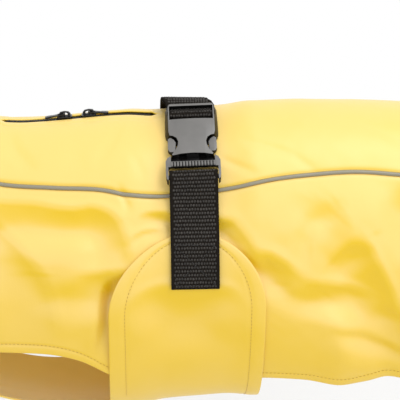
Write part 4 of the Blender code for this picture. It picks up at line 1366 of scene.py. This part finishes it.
# ================================================================ buckle
# Side-release buckle in black moulded plastic with a fine eroded grain. The grip bar of the plug is ribbed.
GRIP_RIBS = 15
RIB_PITCH = 2.5
RIB_SIZE = (5.2, 1.9, 1.4)
RIB_DOWN = 59.9
RIB_OUT = 8.3


def plastic_look(name, roughness, shade, gloss):
    look = Look(name, roughness, Specular_IOR_Level=gloss)
    look.colour(look.noise(60.0, 3.0), (0.9 * shade, 0.875 * shade, 0.83 * shade),
                (1.1 * shade, 1.06 * shade, 1.01 * shade), 0.3, 0.7)
    look.relief((look.noise(1400.0, 2.0), 0.12, 0.0001))
    return look.made


# The grey is lighter than black plastic: partly the plastic's own colour, partly a painted reflection of the
# light above.
PLASTIC = plastic_look("moulded_plastic", 0.36, 0.145, 0.5)
# Nearly black plastic for painted shade on the buckle's flanks and in its hollows.
SHADE_PAINTED_PLASTIC = plastic_look("moulded_plastic_painted_shade", 0.4, 0.005, 0.12)
BUCKLE_HALF = 22.8
SOCKET_THICK = 9.4
OUTER_LEAN = 0.13
WINDOW_LEAN = 0.10
SOCKET_CROWN = 1.3
PRONG_ROOT_OUT = 3.2
MOUTH_EDGE = 50.0
RECESS_END = 57.3
RECESS_HALF = 18.4
RECESS_OUT = 7.7
TONGUE_HALF = 8.0
TONGUE_FROM = 30.0
RIB_FOOT_OUT = 8.0
FLANK_TURN = 0.62  # a face whose direction has less than this share out of the buckle is a flank
GRIP_END = 62.6
GRIP_HALF = 18.3
GRIP_UNDER_OUT = 5.8


def buckle_axes(points):
    """Places on the buckle, across, down from its upper bar and out, in millimetres."""
    off = points / MM - BUCKLE_MIDDLE
    return np.stack([off @ BUCKLE_ACROSS, BUCKLE_LONG / 2 - off @ BUCKLE_UP, off @ BUCKLE_OUT], axis=-1)


def paint_buckle_shade(made, mouth):
    """Painted shade: the flanks, the hollow past `mouth`, the tongue and the gaps between the ribs get a
    nearly black plastic beside the grained face.
    """
    made.data.materials.append(SHADE_PAINTED_PLASTIC)
    for face in made.data.polygons:
        across, down, out = buckle_axes(np.array(face.center))
        turned_away = np.dot(face.normal, BUCKLE_OUT) < FLANK_TURN
        in_recess = mouth < down < RECESS_END and abs(across) < RECESS_HALF and out < RECESS_OUT
        tongue = abs(across) < TONGUE_HALF and TONGUE_FROM < down < RECESS_END and out < RECESS_OUT
        between_ribs = RECESS_END < down < GRIP_END and abs(across) < GRIP_HALF and out > RIB_FOOT_OUT
        if turned_away or in_recess or tongue or between_ribs:
            face.material_index = 1


def crowned(places):
    """The socket's face is crowned across, and its flanks lean in toward the face."""
    across, down, out = places.T
    off = np.abs(across)
    lean = np.where(off > 20.5, OUTER_LEAN, WINDOW_LEAN) * (off > 12) * out / SOCKET_THICK
    lower = SOCKET_CROWN * smooth((out - 7) / 2) * smooth((down - 13) / 3) * (across / BUCKLE_HALF) ** 2
    return np.stack([across * (1 - lean), down, out - lower], axis=1)


def sunken(places):
    """The prongs and tongue leave the plug low in its recess, and the grip bar is thin at its lower edge."""
    across, down, out = places.T
    off = np.abs(across)
    low = (down > MOUTH_EDGE - 0.1) & (down < RECESS_END) & (off < 18.0) & (out > 6.5) & (out < 7.5)
    under_grip = (np.abs(down - GRIP_END) < 0.4) & (off < 20.8) & (out < 2)
    out = np.where(low, PRONG_ROOT_OUT, np.where(under_grip, GRIP_UNDER_OUT, out))
    return np.stack([across, down, out], axis=1)


def reshape(bm, change):
    points = np.array([vert.co for vert in bm.verts])
    for vert, place in zip(bm.verts, change(buckle_axes(points))):
        vert.co = on_buckle(place) * MM


def cut_through(bm, place, direction):
    bmesh.ops.bisect_plane(bm, geom=bm.verts[:] + bm.edges[:] + bm.faces[:], dist=1e-7,
                           plane_co=on_buckle(place) * MM, plane_no=direction)


def change_socket(bm):
    for across in np.linspace(-18, 18, 10):
        cut_through(bm, (across, 0, 0), BUCKLE_ACROSS)
    reshape(bm, crowned)


def change_plug(bm):
    for down in (MOUTH_EDGE - 3, MOUTH_EDGE):
        cut_through(bm, (0, down, 0), BUCKLE_UP)
    for across in (-GRIP_HALF, GRIP_HALF):
        cut_through(bm, (across, 0, 0), BUCKLE_ACROSS)
    for down in (RECESS_END + 0.3, GRIP_END - 0.1):
        cut_through(bm, (0, down, 0), BUCKLE_UP)
    reshape(bm, sunken)


for node, change, mouth in (("buckle_socket", change_socket, MOUTH_EDGE - 21),
                            ("buckle_plug", change_plug, MOUTH_EDGE - 2.6)):
    made = rounded_copy(node, f"{node}_moulded", PLASTIC, 0.7, 3, change)
    # Painted shade on the flanks and in the hollows.
    paint_buckle_shade(made, mouth)
    dress(made, node)

rib_offsets = (np.arange(GRIP_RIBS) - (GRIP_RIBS - 1) / 2) * RIB_PITCH
rib_row = (np.array([on_buckle((across, RIB_DOWN, RIB_OUT)) for across in rib_offsets]),
           np.tile(BUCKLE_UP, (GRIP_RIBS, 1)), np.tile(BUCKLE_OUT, (GRIP_RIBS, 1)))
dress(bodies("grip_ribs", [rib_row], RIB_SIZE, PLASTIC, squareness=0.6))

# ================================================================ studio
# Plain pale floor below the coat, a soft light above, another in front on the wearer's left, and even light
# all around.
FLOOR_HEIGHT = -0.56
LIGHT_SIZE = 0.9
LIGHTS = (
    # name  place  power
    ("top_light", (0.6, -0.5, 1.5), 10),
    ("front_light", (1.1, -2.0, 1.5), 11),
)
LIGHT_TARGET = Vector((0, 0, -0.1))
scene = bpy.context.scene

bpy.ops.mesh.primitive_plane_add(size=7, location=(0, -2.0, FLOOR_HEIGHT))
floor = bpy.context.object
floor.name = "studio_floor"
floor.data.materials.append(Look("studio_floor", 0.9, Base_Color=(0.8, 0.8, 0.8, 1)).made)

for name, place, power in LIGHTS:
    light = bpy.data.lights.new(name, "AREA")
    light.shape = "RECTANGLE"
    light.size = LIGHT_SIZE
    light.size_y = LIGHT_SIZE
    light.energy = power
    lamp = put(name, light)
    lamp.location = place
    lamp.rotation_euler = (LIGHT_TARGET - Vector(place)).to_track_quat("-Z", "Y").to_euler()

world = bpy.data.worlds.new("studio")
world.use_nodes = True
world.node_tree.nodes["Background"].inputs["Color"].default_value = (1, 1, 1, 1)
world.node_tree.nodes["Background"].inputs["Strength"].default_value = 1.0
scene.world = world
scene.view_settings.view_transform = "Standard"

# Camera on the wearer's left, a little ahead of square and above, as far off as a long lens needs.
CAMERA_TARGET = Vector((4, -97, -46.1)) * MM
CAMERA_AWAY = 1.15
CAMERA_AZIMUTH = math.radians(-3)
CAMERA_HEIGHT = math.radians(20)
CAMERA_LENS = 127.5

camera_data = bpy.data.cameras.new("camera")
camera_data.lens = CAMERA_LENS
camera_data.sensor_width = 36
camera_data.clip_end = 60
camera = put("camera", camera_data)
back_to_camera = Vector((
    math.sin(CAMERA_AZIMUTH) * math.cos(CAMERA_HEIGHT),
    -math.cos(CAMERA_AZIMUTH) * math.cos(CAMERA_HEIGHT),
    math.sin(CAMERA_HEIGHT),
))
camera.location = CAMERA_TARGET + back_to_camera * CAMERA_AWAY
camera.rotation_euler = back_to_camera.to_track_quat("Z", "Y").to_euler()
scene.camera = camera
